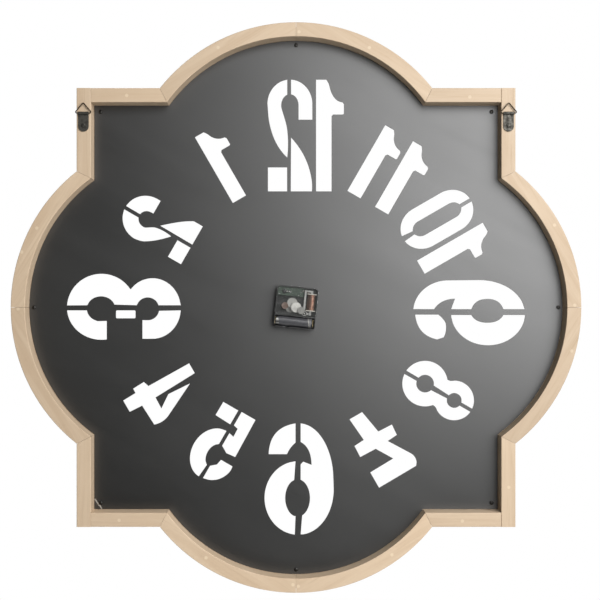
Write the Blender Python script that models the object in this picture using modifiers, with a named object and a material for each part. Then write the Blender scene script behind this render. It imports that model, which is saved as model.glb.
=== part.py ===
"""Quatrefoil wall clock with a stencilled sheet-metal dial and a battery movement.

The clock stands upright. Its front faces -Y, its back faces +Y and lies on the wall plane Y = 0,
+Z is up, and the origin is on the axis of the hands. Sizes are in millimetres and are turned into
metres by MM where an object is made. Outlines are drawn as seen from the front, across and up.
"""
import bpy
import bmesh
from math import acos, asin, atan2, cos, pi, radians, sin, sqrt

MM = 0.001
GAP = 0.3                     # between pieces that touch
FIT = 0.15                    # round a pin, arbor or sleeve in its hole

# Frame: four lobes on the sides of a square
LOBE_RADIUS = 232.0
LOBE_OFFSET = 149.0           # lobe centre from the clock's centre
SQUARE_HALF = 293.0
RIM_WIDTH = 19.0
RIM_DEPTH = 22.0
RING_WIDTH = 40.0
RING_THICKNESS = 13.0
ARC_STEPS = 10                # along half a lobe

# Dial
DIAL_BACK = -20.8
DIAL_THICKNESS = 1.2
DIAL_CLEARANCE = 0.5
BRIDGE_LARGE = 7.0            # strip of metal left between the parts of a large numeral
BRIDGE_SMALL = 5.0
DIAL_SCREW_LOBE = 355.5       # screw at the middle of each lobe
DIAL_SCREW_CORNER = 265.0     # screws near the corners, across and up
DIAL_SCREW_HOLE = 1.8         # radius in the dial
DIAL_SCREW_LENGTH = 7.0       # past the dial's front
PILOT_DEPTH = 8.0             # of a dial screw's hole in the ring
PILOT_RADIUS = 1.5

# Hangers
HANGER_X = 283.5
STRAP_TOP = 261.0
STRAP_BOTTOM = 234.6
STRAP_WIDTH = 14.0
STRAP_THICKNESS = 1.0
HANGER_SCREW_UP = 243.0
HANGER_SCREW_TIP = -11.0
WIRE_RADIUS = 0.75
EYE_RADIUS = 1.05
TRIANGLE_HALF = 10.0          # of the wire's middle line, across
TRIANGLE_HEIGHT = 13.6
TRIANGLE_FOOT = 1.6           # radius of the wire's bends beside the eye
TRIANGLE_TIP = 1.3            # radius of its bend at the top

# Movement
CASE_SIZE = 56.0
CASE_FRONT = -19.6
CASE_BACK = -5.0
CASE_WALL = 1.2
CASE_CORNER = 5.0
CASE_TILT = -6.0              # turn about the shaft, degrees
PARTITION = -10.9             # top of the wall over the cell's bay
COVER_BACK = -3.6
COVER_FRONT = -4.8
CELL_RADIUS = 7.0
CELL_UP = -19.4
CELL_ENDS = (-23.9, 25.9)
CELL_AXIS = -11.1
PIVOT_RADIUS = 0.35
PIVOT_FRONT = -18.95          # ends of the wheels' arbors, in the case and in the cover
PIVOT_BACK = -4.2
SOCKET_DEPTH = 0.7
MAGNET_RADIUS = 2.05
POLE_RADIUS = 3.3             # outside of the stator round the rotor
BUSH_RADIUS = 4.0
BUSH_BORE = 2.55
NUT_CORNER = 6.35             # from the shaft to a corner of the hex nut
PIPE_RADIUS = 2.35            # of the hour wheel
PIPE_BORE = 1.6
ARBOR_RADIUS = 1.4            # of the minute arbor
COIL_ACROSS = -19.6
COIL_ENDS = (-3.3, 20.2)
COIL_RADIUS = 6.1
STATOR_DEPTHS = (-12.4, -11.4)

# Places of the arbors, across and up from the shaft
SHAFT = (0.0, 0.0)
TRAIN_DISTANCE = 8.0
WORK_DISTANCE = 8.0
THIRD = (TRAIN_DISTANCE * cos(pi / 4), TRAIN_DISTANCE * sin(pi / 4))
INTERMEDIATE_ANGLE = radians(205)
ROTOR_ANGLE = radians(218)
SETTING = (15.2, 1.0)

# Hands
HOUR_HAND = 100.0
HOUR_HAND_DEPTHS = (-29.0, -28.2)
MINUTE_HAND = 145.0
MINUTE_HAND_DEPTHS = (-31.6, -30.8)
HOUR_ANGLE = 305.0            # ten past ten, degrees clockwise from twelve
MINUTE_ANGLE = 60.0


# ---------------------------------------------------------------- scene, materials, objects

for old in list(bpy.data.objects):
    bpy.data.objects.remove(old, do_unlink=True)


def collection(name):
    group = bpy.data.collections.new(name)
    bpy.context.scene.collection.children.link(group)
    return group


CLOCK = collection("quatrefoil_wall_clock")
CUTTERS = collection("cutters")


def finish(name, colour, roughness, metallic=0.0, alpha=1.0):
    material = bpy.data.materials.new(name)
    material.use_nodes = True
    shader = material.node_tree.nodes["Principled BSDF"]
    shader.inputs["Base Color"].default_value = (*colour, 1.0)
    shader.inputs["Roughness"].default_value = roughness
    shader.inputs["Metallic"].default_value = metallic
    shader.inputs["Alpha"].default_value = alpha
    material.diffuse_color = (*colour, alpha)
    return material


WOOD = finish("pale_wood", (0.62, 0.46, 0.33), 0.7)
BLACK_SHEET = finish("black_sheet", (0.03, 0.03, 0.03), 0.45)
STEEL = finish("zinc_steel", (0.55, 0.55, 0.53), 0.35, 1.0)
DARK_STEEL = finish("dark_steel", (0.12, 0.12, 0.12), 0.4, 1.0)
BRASS = finish("brass", (0.72, 0.53, 0.22), 0.3, 1.0)
COPPER = finish("copper_wire", (0.70, 0.36, 0.24), 0.35, 1.0)
BLACK_PLASTIC = finish("black_plastic", (0.02, 0.02, 0.02), 0.4)
CLEAR_PLASTIC = finish("clear_plastic", (0.5, 0.5, 0.5), 0.1, 0.0, 0.3)
WHITE_PLASTIC = finish("white_plastic", (0.8, 0.8, 0.76), 0.45)
BROWN_PLASTIC = finish("brown_plastic", (0.20, 0.13, 0.10), 0.4)
RUBBER = finish("rubber", (0.03, 0.03, 0.03), 0.9)
BOARD = finish("circuit_board", (0.10, 0.16, 0.09), 0.5)
CELL = finish("cell_sleeve", (0.05, 0.05, 0.06), 0.3)
HAND = finish("cream_enamel", (0.80, 0.76, 0.66), 0.4)


def node(name, data, material, across=0.0, depth=0.0, up=0.0, parent=None):
    """An object of the clock, placed in millimetres."""
    item = bpy.data.objects.new(name, data)
    CLOCK.objects.link(item)
    item.location = (across * MM, depth * MM, up * MM)
    item.parent = parent
    data.materials.append(material)
    return item


def as_mesh(item):
    """Swap a curve object for a mesh object with welded caps, or apply a mesh's modifiers."""
    bpy.context.view_layer.update()
    evaluated = item.evaluated_get(bpy.context.evaluated_depsgraph_get())
    mesh = bpy.data.meshes.new_from_object(evaluated)
    shape = bmesh.new()
    shape.from_mesh(mesh)
    bmesh.ops.remove_doubles(shape, verts=shape.verts, dist=1e-7)
    bmesh.ops.recalc_face_normals(shape, faces=shape.faces)
    shape.to_mesh(mesh)
    shape.free()
    name, old = item.name, item.data
    solid = bpy.data.objects.new(name + "_solid", mesh)
    CLOCK.objects.link(solid)
    solid.parent = item.parent
    solid.location = item.location
    solid.rotation_euler = item.rotation_euler
    bpy.data.objects.remove(item, do_unlink=True)
    if isinstance(old, bpy.types.Curve):
        bpy.data.curves.remove(old)
    solid.name = name
    bpy.context.view_layer.update()
    return solid


def boolean(item, other, operation):
    """Cut, join or keep what is shared, with the other shape hidden among the cutters."""
    if other.name in CLOCK.objects:
        CLOCK.objects.unlink(other)
        CUTTERS.objects.link(other)
    other.hide_render = True
    other.display_type = "WIRE"
    step = item.modifiers.new(operation.lower(), "BOOLEAN")
    step.operation = operation
    step.object = other
    step.solver = "EXACT"
    return item


# ---------------------------------------------------------------- outlines

def arc(centre, radii, start, end, steps=8):
    """Points on an ellipse from one angle to another, in degrees, either way round."""
    angles = [radians(start + (end - start) * i / steps) for i in range(steps + 1)]
    return [(centre[0] + radii[0] * cos(a), centre[1] + radii[1] * sin(a)) for a in angles]


def circle(centre, radius, steps=16):
    return arc(centre, (radius, radius), 0, 360, steps)[:-1]


def bend(start, control, end, steps=5):
    """Points on a quadratic curve, without its two ends."""
    points = []
    for i in range(1, steps):
        t = i / steps
        a, b, c = (1 - t) ** 2, 2 * t * (1 - t), t * t
        points.append(tuple(a * s + b * m + c * e for s, m, e in zip(start, control, end)))
    return points


def rounded_box(left, bottom, right, top, radius, steps=4):
    corners = ((right, top, 0), (left, top, 90), (left, bottom, 180), (right, bottom, 270))
    points = []
    for x, y, angle in corners:
        cx = x - radius if x == right else x + radius
        cy = y - radius if y == top else y + radius
        points += arc((cx, cy), (radius, radius), angle, angle + 90, steps)
    return points


def turn(points, degrees):
    """Turn points clockwise about the origin."""
    a = radians(degrees)
    return [(x * cos(a) + y * sin(a), y * cos(a) - x * sin(a)) for x, y in points]


def shift(points, across, up):
    return [(x + across, y + up) for x, y in points]


def lobe_half_angle(inset):
    """From the middle of a lobe to where it meets the square, for an outline inset by so much."""
    return acos((SQUARE_HALF - inset - LOBE_OFFSET) / (LOBE_RADIUS - inset))


def quatrefoil(inset):
    radius = LOBE_RADIUS - inset
    half = lobe_half_angle(inset)
    points = []
    for side in range(4):
        lobe = arc((0, LOBE_OFFSET), (radius, radius),
                   90 + half * 180 / pi, 90 - half * 180 / pi, 2 * ARC_STEPS)
        corner = (SQUARE_HALF - inset, SQUARE_HALF - inset)
        points += turn(lobe + [corner], 90 * side)
    return points


def plate(name, outlines, back, front, material, at=(0.0, 0.0), parent=None):
    """A flat piece between two depths; outlines inside the first one are holes."""
    curve = bpy.data.curves.new(name, "CURVE")
    curve.dimensions = "2D"
    curve.fill_mode = "BOTH"
    curve.extrude = (back - front) / 2 * MM
    for outline in outlines:
        spline = curve.splines.new("POLY")
        spline.points.add(len(outline) - 1)
        for point, (x, y) in zip(spline.points, outline):
            point.co = (x * MM, y * MM, 0.0, 1.0)
        spline.use_cyclic_u = True
    item = node(name, curve, material, at[0], (back + front) / 2, at[1], parent)
    item.rotation_euler = (pi / 2, 0.0, 0.0)
    return item


def turned(name, profile, material, at=(0.0, 0.0), parent=None, steps=24):
    """A piece turned about the depth axis. The profile gives (radius, depth) from the front end
    to the back end of its outer side; one with a bore comes back up its inner side."""
    mesh = bpy.data.meshes.new(name)
    shape = bmesh.new()
    verts = [shape.verts.new((radius * MM, 0.0, -depth * MM)) for radius, depth in profile]
    bored = profile[0][0] > 0
    pairs = list(zip(verts, verts[1:] + verts[:1])) if bored else list(zip(verts, verts[1:]))
    for a, b in pairs:
        shape.edges.new((a, b))
    shape.to_mesh(mesh)
    shape.free()
    item = node(name, mesh, material, at[0], 0.0, at[1], parent)
    item.rotation_euler = (pi / 2, 0.0, 0.0)
    screw = item.modifiers.new("turn", "SCREW")
    screw.axis = "Z"
    screw.steps = steps
    screw.render_steps = steps
    screw.use_merge_vertices = True
    screw.merge_threshold = 1e-6
    return item


def rod(name, radius, front, back, material, at=(0.0, 0.0), parent=None, steps=12):
    profile = [(0.0, front), (radius, front), (radius, back), (0.0, back)]
    return turned(name, profile, material, at, parent, steps)


def pins(name, places, radius, front, back, parent=None, steps=12):
    """Several rods in one shape, for cutting a set of holes at one go."""
    shape = bmesh.new()
    for x, z in places:
        made = bmesh.ops.create_cone(shape, cap_ends=True, segments=steps, radius1=radius * MM,
                                     radius2=radius * MM, depth=(back - front) * MM)
        bmesh.ops.translate(shape, verts=made["verts"], vec=(x * MM, z * MM, 0.0))
    mesh = bpy.data.meshes.new(name)
    shape.to_mesh(mesh)
    shape.free()
    item = node(name, mesh, BLACK_PLASTIC, 0.0, (front + back) / 2, 0.0, parent)
    item.rotation_euler = (pi / 2, 0.0, 0.0)
    return item


# ---------------------------------------------------------------- numerals

def one(half, stem, flag, shoulder):
    """A one: flag is how far out, its lower edge and its upper edge; shoulder joins it to the top."""
    left, right = -stem / 2, stem / 2
    out, low, high = flag
    tip = left - out
    outline = [(left, -half), (right, -half), (right, half), (left + 7.2, half), (left + 3.8, shoulder)]
    outline += bend(outline[-1], (left - 1.0, high + 3.0), (tip + 1.8, high + 1.5))
    outline += [(tip + 1.8, high + 1.5), (tip, high - 1.0), (tip, low + 1.0), (tip + 1.5, low)]
    outline += [(left - 2.0, low), (left, low - 2.5)]
    return [outline]


def two(half, bowl, bowl_radii, eye_radii, terminal, waist, tips, block, wide):
    """A two in four parts, split by an upright bridge just right of the middle."""
    left, right = -1.6, 3.6
    up_left = [(-bowl_radii[0], terminal), (-eye_radii[0], terminal)]
    up_left += arc((0, bowl - 2), eye_radii, 180, 98, 4)
    up_left += [(left, half)] + arc((0, bowl), bowl_radii, 100, 180)
    up_right = [(right, half)] + [(right, bowl - 2 + 0.95 * eye_radii[1])]
    up_right += arc((0, bowl - 2), eye_radii, 62, -15, 4)
    up_right += [(right, waist), (right, tips[1])]
    up_right += bend((right, tips[1]), (wide - 2, tips[1] + 22), (bowl_radii[0], bowl - 4))
    up_right += arc((0, bowl), bowl_radii, 0, 80)
    low_left = [(left, tips[0])] + bend((left, tips[0]), (-wide + 4, tips[0] - 26), (-wide, -half + 13))
    low_left += [(-wide, -half + 13), (-wide, -half), (left + 0.4, -half)]
    low_right = [(right + 0.2, block), (wide, block), (wide, -half), (right + 0.2, -half)]
    return [up_left, up_right, low_left, low_right]


def three():
    """A large three: right half, two hooks on the left and a small bar between them."""
    left, right = -BRIDGE_LARGE / 2 - 0.6, BRIDGE_LARGE / 2 - 0.6
    top, low = (-1.5, 38.8), (-0.5, -30.5)
    top_radii, low_radii = (41.0, 38.4), (46.0, 46.8)
    side = [(right, 77.2)] + arc(top, top_radii, 81, -50, 11) + arc(low, low_radii, 57, -86, 12)
    side += [(right, -49.6)] + arc((-2, -31), (17.0, 19.3), -70, 70, 8)
    side += [(right, 17.6)] + arc((-2, 32.3), (15.5, 15.5), -65, 65, 8) + [(right, 46.6)]
    upper = [(left, 77.0)] + arc(top, top_radii, 95, 180, 8) + [(-42.5, 25.1), (-17.2, 25.1)]
    upper += arc((-2, 32.3), (15.5, 15.5), 185, 100, 5)
    lower = [(left, -77.0)] + [(left, -49.8)] + arc((-2, -31), (17.0, 19.3), -100, -170, 5)
    lower += [(-18.4, -23.2), (-43.4, -23.2)] + arc((-0.5, -30.5), (43.4, 46.8), 180, 265, 8)
    bar = rounded_box(-14.8, -10.8, left, 15.8, 1.5, 2)
    return [side, upper, lower, bar]


def four():
    """A small four, all one opening, its counter held by a strip beside the stem."""
    return [[(6.8, 51.4), (7.7, -11.8), (15.6, -14.4), (15.0, -31.6), (8.2, -31.9), (7.8, -51.4),
             (-9.8, -51.4), (-11.0, -32.6), (-41.4, -31.2), (-40.4, -8.2), (-17.4, 38.8),
             (-15.3, 6.0), (-27.3, -11.8), (-10.4, -11.2), (-8.5, 51.4)]]


def five():
    """A small five: bar and neck, block, bowl and tail."""
    left, right = -7.0, -2.0
    neck = [(-28.6, 52.2), (left, 52.2), (left, 31.2), (-13.8, 29.6), (-14.2, 17.4), (left, 19.0),
            (left, -0.8), (-17.0, -6.6), (-30.0, -5.2)]
    block = [(right, 51.6), (21.4, 51.6), (21.6, 30.8), (right, 29.8)]
    bowl = [(right, 19.6)] + arc((-1.2, -16.6), (28.8, 36.0), 86, -88, 14)
    bowl += [(right, -33.4)] + arc((-5.0, -17.2), (11.0, 16.6), -68, 70, 7) + [(right, -0.8)]
    tail = [(-15.2, -18.0), (-33.0, -18.0)] + arc((-4.6, -20.0), (29.4, 31.6), 190, 262, 6)
    tail += [(-6.4, -51.8), (-6.4, -32.4), (-13.6, -26.2)]
    return [neck, block, bowl, tail]


def six():
    """A large six: long left side, hook at the top right and bowl at the lower right."""
    left, right = -6.2, 0.8
    side = [(left, 75.6), (left, 50.3)] + bend((left, 50.3), (-20.5, 43.0), (-21.0, 19.4))
    side += [(-21.0, 19.4), (-9.6, 23.7), (left, 20.0), (left, -1.0)]
    side += arc((-2.0, -25.6), (16.8, 25.4), 112, 248, 10)
    side += [(left, -75.0)] + arc((-4.0, -14.0), (47.0, 61.4), 262, 180, 9)
    side += arc((-4.0, -1.0), (46.6, 76.6), 172, 100, 8)
    hook = [(right, 75.6)] + bend((right, 75.6), (36.0, 70.0), (37.2, 33.8), 7)
    hook += [(37.2, 33.8), (12.4, 33.8), (7.3, 42.7), (right, 49.4)]
    bowl = [(right, 24.2)] + arc((-3.0, -25.6), (45.8, 50.0), 84, -84, 14)
    bowl += [(right, -50.0)] + arc((-2.0, -25.6), (16.8, 25.4), -74, 74, 9)
    return [side, hook, bowl]


def seven():
    """A small seven with a bar across its leg."""
    return [[(-24.8, 50.2), (33.6, 49.6), (36.4, 46.0), (36.0, 31.6), (17.1, 1.2), (31.9, 0.2),
             (33.1, -15.4), (12.4, -16.4), (6.5, -50.2), (-13.2, -50.2), (-10.4, -16.4),
             (-25.4, -15.6), (-26.2, 1.4), (-2.4, 2.2), (11.6, 25.4), (-24.8, 26.2)]]


def eight():
    """A small eight split down the middle, its smaller lobe at the top."""
    big, small = (0.0, -20.7), (0.0, 24.9)
    halves = []
    for side in (1, -1):
        x = BRIDGE_SMALL / 2
        half = [(x, 51.7)] + arc(small, (26.9, 26.9), 84, -40, 9) + arc(big, (30.9, 30.9), 50, -85, 10)
        half += [(x, -32.2)] + arc(big, (11.9, 11.9), -72, 72, 7)
        half += [(x, 15.4)] + arc(small, (10.0, 10.0), -68, 68, 6) + [(x, 34.6)]
        halves.append([(side * px, py) for px, py in half])
    return halves


def nine():
    """A large nine: long right side, bowl at the upper left and drop-shaped terminal."""
    left, right = -10.4, -2.4
    side = [(right, 75.7)] + arc((-8.0, 14.0), (45.0, 61.8), 80, 0, 9)
    side += arc((-6.0, -28.0), (42.6, 47.6), 0, -85, 8)
    side += [(right, -47.4)] + bend((right, -47.4), (11.5, -38.0), (11.8, -18.9))
    side += [(11.8, -18.9), (2.0, -22.6), (right, -24.1), (right, 3.3)]
    side += bend((right, 3.3), (11.5, 8.0), (11.5, 25.0), 4)
    side += [(11.5, 25.0)] + bend((11.5, 25.0), (11.5, 42.0), (right, 46.7), 4) + [(right, 46.7)]
    bowl = [(left, 75.8)] + arc((-8.0, 26.0), (43.4, 50.2), 94, 262, 14)
    bowl += [(left, -24.1), (left, 3.3)] + bend((left, 3.3), (-20.9, 9.0), (-20.9, 25.0), 4)
    bowl += [(-20.9, 25.0)] + bend((-20.9, 25.0), (-20.9, 41.0), (left, 46.7), 4) + [(left, 46.7)]
    drop = [(-9.9, -41.5), (-16.5, -34.6), (-22.3, -31.4), (-32.5, -31.4), (-40.6, -34.3)]
    drop += [(-43.4, -42.9)] + bend((-43.4, -42.9), (-38.0, -70.0), (-9.9, -72.9), 7)
    drop += [(-9.9, -72.9)]
    return [side, bowl, drop]


def zero():
    """A small nought split down the middle."""
    halves = []
    for side in (1, -1):
        x = BRIDGE_SMALL / 2
        half = [(x, 53.0)] + arc((0.0, 22.0), (28.4, 31.0), 82, 0, 6)
        half += arc((0.0, -22.0), (28.4, 31.0), 0, -82, 6)
        half += [(x, -36.6)] + arc((0.0, -24.0), (10.4, 12.6), -66, 0, 3)
        half += arc((0.0, 24.0), (10.4, 12.6), 0, 66, 3) + [(x, 36.6)]
        halves.append([(s * side, t) for s, t in half])
    return halves


def small_one():
    return one(51.5, 20.6, (16.0, 18.4, 29.8), 46.8)


def large_one():
    return one(75.8, 21.0, (16.7, 28.4, 43.5), 69.9)


def small_two():
    return two(52.0, 20.0, (31.0, 32.0), (11.2, 12.0), 14.8, 1.4, (-1.4, -21.6), -31.5, 29.6)


def large_two():
    return two(75.8, 42.9, (30.4, 33.0), (11.8, 15.0), 21.4, 7.4, (-2.8, -29.9), -43.3, 29.8)


# Hour, tops towards the shaft, distance of the middle from the shaft, and (shape, shift across)
NUMERALS = (
    (12, False, 233.2, ((large_one, -37.6), (large_two, 8.4))),
    (1, False, 217.0, ((small_one, -6.8),)),
    (2, False, 216.5, ((small_two, -2.2),)),
    (3, True, 233.6, ((three, 0.0),)),
    (4, True, 215.0, ((four, 0.0),)),
    (5, True, 212.0, ((five, 0.0),)),
    (6, True, 233.0, ((six, 0.0),)),
    (7, False, 218.0, ((seven, 0.0),)),
    (8, False, 224.0, ((eight, -2.1),)),
    (9, False, 234.5, ((nine, 0.0),)),
    (10, False, 225.3, ((small_one, -37.4), (zero, 7.9))),
    (11, False, 223.2, ((small_one, -34.9), (small_one, 8.5))),
)


def stencil_holes():
    holes = []
    for hour, inward, distance, shapes in NUMERALS:
        angle = 30 * hour + (180 if inward else 0)
        middle = -distance if inward else distance
        for shape, across in shapes:
            holes += [turn(shift(outline, across, middle), angle) for outline in shape()]
    return holes


# ---------------------------------------------------------------- frame

def mirrored(points, across, up):
    return [(x * across, z * up) for x, z in points]


def build_rim():
    """Eight half-lobes, four stiles and four rails, butted together."""
    inner, outer = LOBE_RADIUS - RIM_WIDTH, LOBE_RADIUS
    half_inner, half_outer = lobe_half_angle(RIM_WIDTH), lobe_half_angle(0.0)
    joint = GAP / 2

    def half_lobe():
        start = [asin(joint / radius) for radius in (outer, inner)]
        end = [half_outer - joint / outer, half_inner - joint / inner]
        rim = arc((0, LOBE_OFFSET), (outer, outer), 90 - start[0] * 180 / pi,
                  90 - end[0] * 180 / pi, ARC_STEPS)
        return rim + arc((0, LOBE_OFFSET), (inner, inner), 90 - end[1] * 180 / pi,
                         90 - start[1] * 180 / pi, ARC_STEPS)

    side_names = ("top", "right", "bottom", "left")
    for side in range(4):
        for flip, part in ((1, "a"), (-1, "b")):
            outline = turn(mirrored(half_lobe(), flip, 1), 90 * side)
            plate(f"rim_{side_names[side]}_arc_{part}", [outline], 0.0, -RIM_DEPTH, WOOD)

    outer_meet = sqrt(outer ** 2 - (SQUARE_HALF - LOBE_OFFSET) ** 2)
    inner_half = SQUARE_HALF - RIM_WIDTH
    inner_meet = sqrt(inner ** 2 - (inner_half - LOBE_OFFSET) ** 2)
    rail = [(outer_meet + joint, SQUARE_HALF), (inner_meet + joint, inner_half),
            (inner_half - GAP, inner_half), (inner_half - GAP, SQUARE_HALF)]
    stile = [(SQUARE_HALF, outer_meet + joint), (inner_half, inner_meet + joint),
             (inner_half, SQUARE_HALF), (SQUARE_HALF, SQUARE_HALF)]
    for across, side in ((1, "right"), (-1, "left")):
        for up, level in ((1, "upper"), (-1, "lower")):
            plate(f"rim_{level}_{side}_rail", [mirrored(rail, across, up)], 0.0, -RIM_DEPTH, WOOD)
            post = plate(f"rim_{level}_{side}_stile", [mirrored(stile, across, up)],
                         0.0, -RIM_DEPTH, WOOD)
            if up == 1:
                hole = pins(f"cut_{side}_hanger", [(across * HANGER_X, HANGER_SCREW_UP)],
                            1.6, HANGER_SCREW_TIP - 2.0, 1.0)
                boolean(as_mesh(post), hole, "DIFFERENCE")


def dial_screw_places():
    corner = DIAL_SCREW_CORNER
    lobes = [(0.0, DIAL_SCREW_LOBE), (DIAL_SCREW_LOBE, 0.0), (0.0, -DIAL_SCREW_LOBE),
             (-DIAL_SCREW_LOBE, 0.0)]
    return lobes + [(corner, corner), (corner, -corner), (-corner, -corner), (-corner, corner)]


def build_ring():
    back = -RIM_DEPTH - GAP
    ring = plate("front_ring", [quatrefoil(0.0), quatrefoil(RING_WIDTH)],
                 back, back - RING_THICKNESS, WOOD)
    pilots = pins("cut_pilots", dial_screw_places(), PILOT_RADIUS, back - PILOT_DEPTH, back + 1.0,
                  None, 8)
    boolean(as_mesh(ring), pilots, "DIFFERENCE")


def build_dial():
    outlines = [quatrefoil(RIM_WIDTH + DIAL_CLEARANCE), circle(SHAFT, BUSH_RADIUS + GAP)]
    outlines += stencil_holes()
    outlines += [circle(place, DIAL_SCREW_HOLE, 8) for place in dial_screw_places()]
    plate("dial_plate", outlines, DIAL_BACK, DIAL_BACK - DIAL_THICKNESS, BLACK_SHEET)
    head = DIAL_BACK + GAP
    tip = DIAL_BACK - DIAL_THICKNESS - DIAL_SCREW_LENGTH
    profile = [(0.0, tip), (0.6, tip), (1.2, tip + 1.5), (1.2, head), (2.7, head),
               (2.7, head + 0.6), (1.9, head + 1.3), (0.0, head + 1.5)]
    names = ("top", "right", "bottom", "left",
             "upper_right", "lower_right", "lower_left", "upper_left")
    for name, place in zip(names, dial_screw_places()):
        turned(f"dial_screw_{name}", profile, DARK_STEEL, place, None, 8)


def build_hangers():
    """Strap with a rolled eye, its screw, and the wire triangle that hinges in the eye."""
    outer = EYE_RADIUS + STRAP_THICKNESS
    eye = (GAP + outer, STRAP_TOP - outer)
    back = GAP + STRAP_THICKNESS
    for side, name in ((1, "right"), (-1, "left")):
        at = side * HANGER_X
        roll = arc(eye, (outer, outer), 180, -60, 12)
        bore = arc(eye, (EYE_RADIUS, EYE_RADIUS), -60, 180, 12)
        section = [(GAP, STRAP_BOTTOM - 1.0)] + roll + bore
        section += [(back, eye[1] - 1.2), (back, STRAP_BOTTOM - 1.0)]
        curve = plate(f"hanger_strap_{name}", [section], STRAP_WIDTH / 2, -STRAP_WIDTH / 2, STEEL)
        curve.location = (at * MM, 0.0, 0.0)
        curve.rotation_euler = (pi / 2, 0.0, pi / 2)
        strap = as_mesh(curve)
        width = STRAP_WIDTH / 2
        shape = arc((at, STRAP_BOTTOM + width), (width - 0.01, width), 180, 360, 10)
        shape += [(at + width - 0.01, STRAP_TOP + 2), (at - width + 0.01, STRAP_TOP + 2)]
        outline = as_mesh(plate(f"cut_{name}_strap_outline", [shape], 9.0, -1.0, STEEL))
        boolean(strap, outline, "INTERSECT")
        screw_at = (at, HANGER_SCREW_UP)
        boolean(strap, pins(f"cut_{name}_strap_hole", [screw_at], 1.9, -1.0, 4.0), "DIFFERENCE")
        head, tip = back + FIT, HANGER_SCREW_TIP
        turned(f"hanger_screw_{name}", [(0.0, tip), (0.6, tip), (1.4, tip + 1.5), (1.4, head),
                                        (3.0, head), (3.0, head + 0.4), (1.8, head + 1.2),
                                        (0.0, head + 1.4)], STEEL, screw_at, None, 12)
        ring = bpy.data.curves.new(f"hanger_ring_{name}", "CURVE")
        ring.dimensions = "3D"
        ring.bevel_depth = WIRE_RADIUS * MM
        ring.bevel_resolution = 2
        tilt = atan2(TRIANGLE_HEIGHT, TRIANGLE_HALF) * 180 / pi
        foot, point_radius = TRIANGLE_FOOT, TRIANGLE_TIP
        points = arc((TRIANGLE_HALF - foot, foot), (foot, foot), 270, 450 - tilt, 4)
        points += arc((0.0, TRIANGLE_HEIGHT - foot), (point_radius, point_radius),
                      90 - tilt, 90 + tilt, 4)
        points += arc((foot - TRIANGLE_HALF, foot), (foot, foot), 90 + tilt, 270, 4)
        spline = ring.splines.new("POLY")
        spline.points.add(len(points) - 1)
        for point, (x, z) in zip(spline.points, points):
            point.co = (x * MM, 0.0, z * MM, 1.0)
        spline.use_cyclic_u = True
        node(f"hanger_ring_{name}", ring, STEEL, at, eye[0], eye[1])


# ---------------------------------------------------------------- wheels

WHEEL_TOOTH = (0.70, 1.15, 0.52, 0.22)      # addendum, dedendum in modules; widths in pitches
PINION_TOOTH = (0.55, 1.15, 0.44, 0.22)


def gear_outline(teeth, module, phase, tooth):
    addendum, dedendum, root_width, tip_width = tooth
    root = module * (teeth / 2 - dedendum)
    tip = module * (teeth / 2 + addendum)
    pitch = 2 * pi / teeth
    points = []
    for i in range(teeth):
        for radius, part in ((root, -root_width / 2), (tip, -tip_width / 2),
                             (tip, tip_width / 2), (root, root_width / 2)):
            angle = phase + (i + part) * pitch
            points.append((radius * cos(angle), radius * sin(angle)))
    return points


def pinion_phase(line, wheel_teeth, wheel_phase, pinion_teeth):
    """First tooth's angle on a pinion that meshes with a wheel, line being the angle from the
    wheel's centre to the pinion's."""
    offset = (line - wheel_phase) / (2 * pi / wheel_teeth)
    return line + pi + (offset + 0.5) * 2 * pi / pinion_teeth


def moulded(name, parts, material):
    """Join the flat and turned parts of one moulding into one solid."""
    body = as_mesh(parts[0])
    body.name = name
    body.data.materials.clear()
    body.data.materials.append(material)
    for part in parts[1:]:
        boolean(body, as_mesh(part), "UNION")
    return body


def place_on(angle, distance, start=SHAFT):
    return (start[0] + distance * cos(angle), start[1] + distance * sin(angle))


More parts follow.
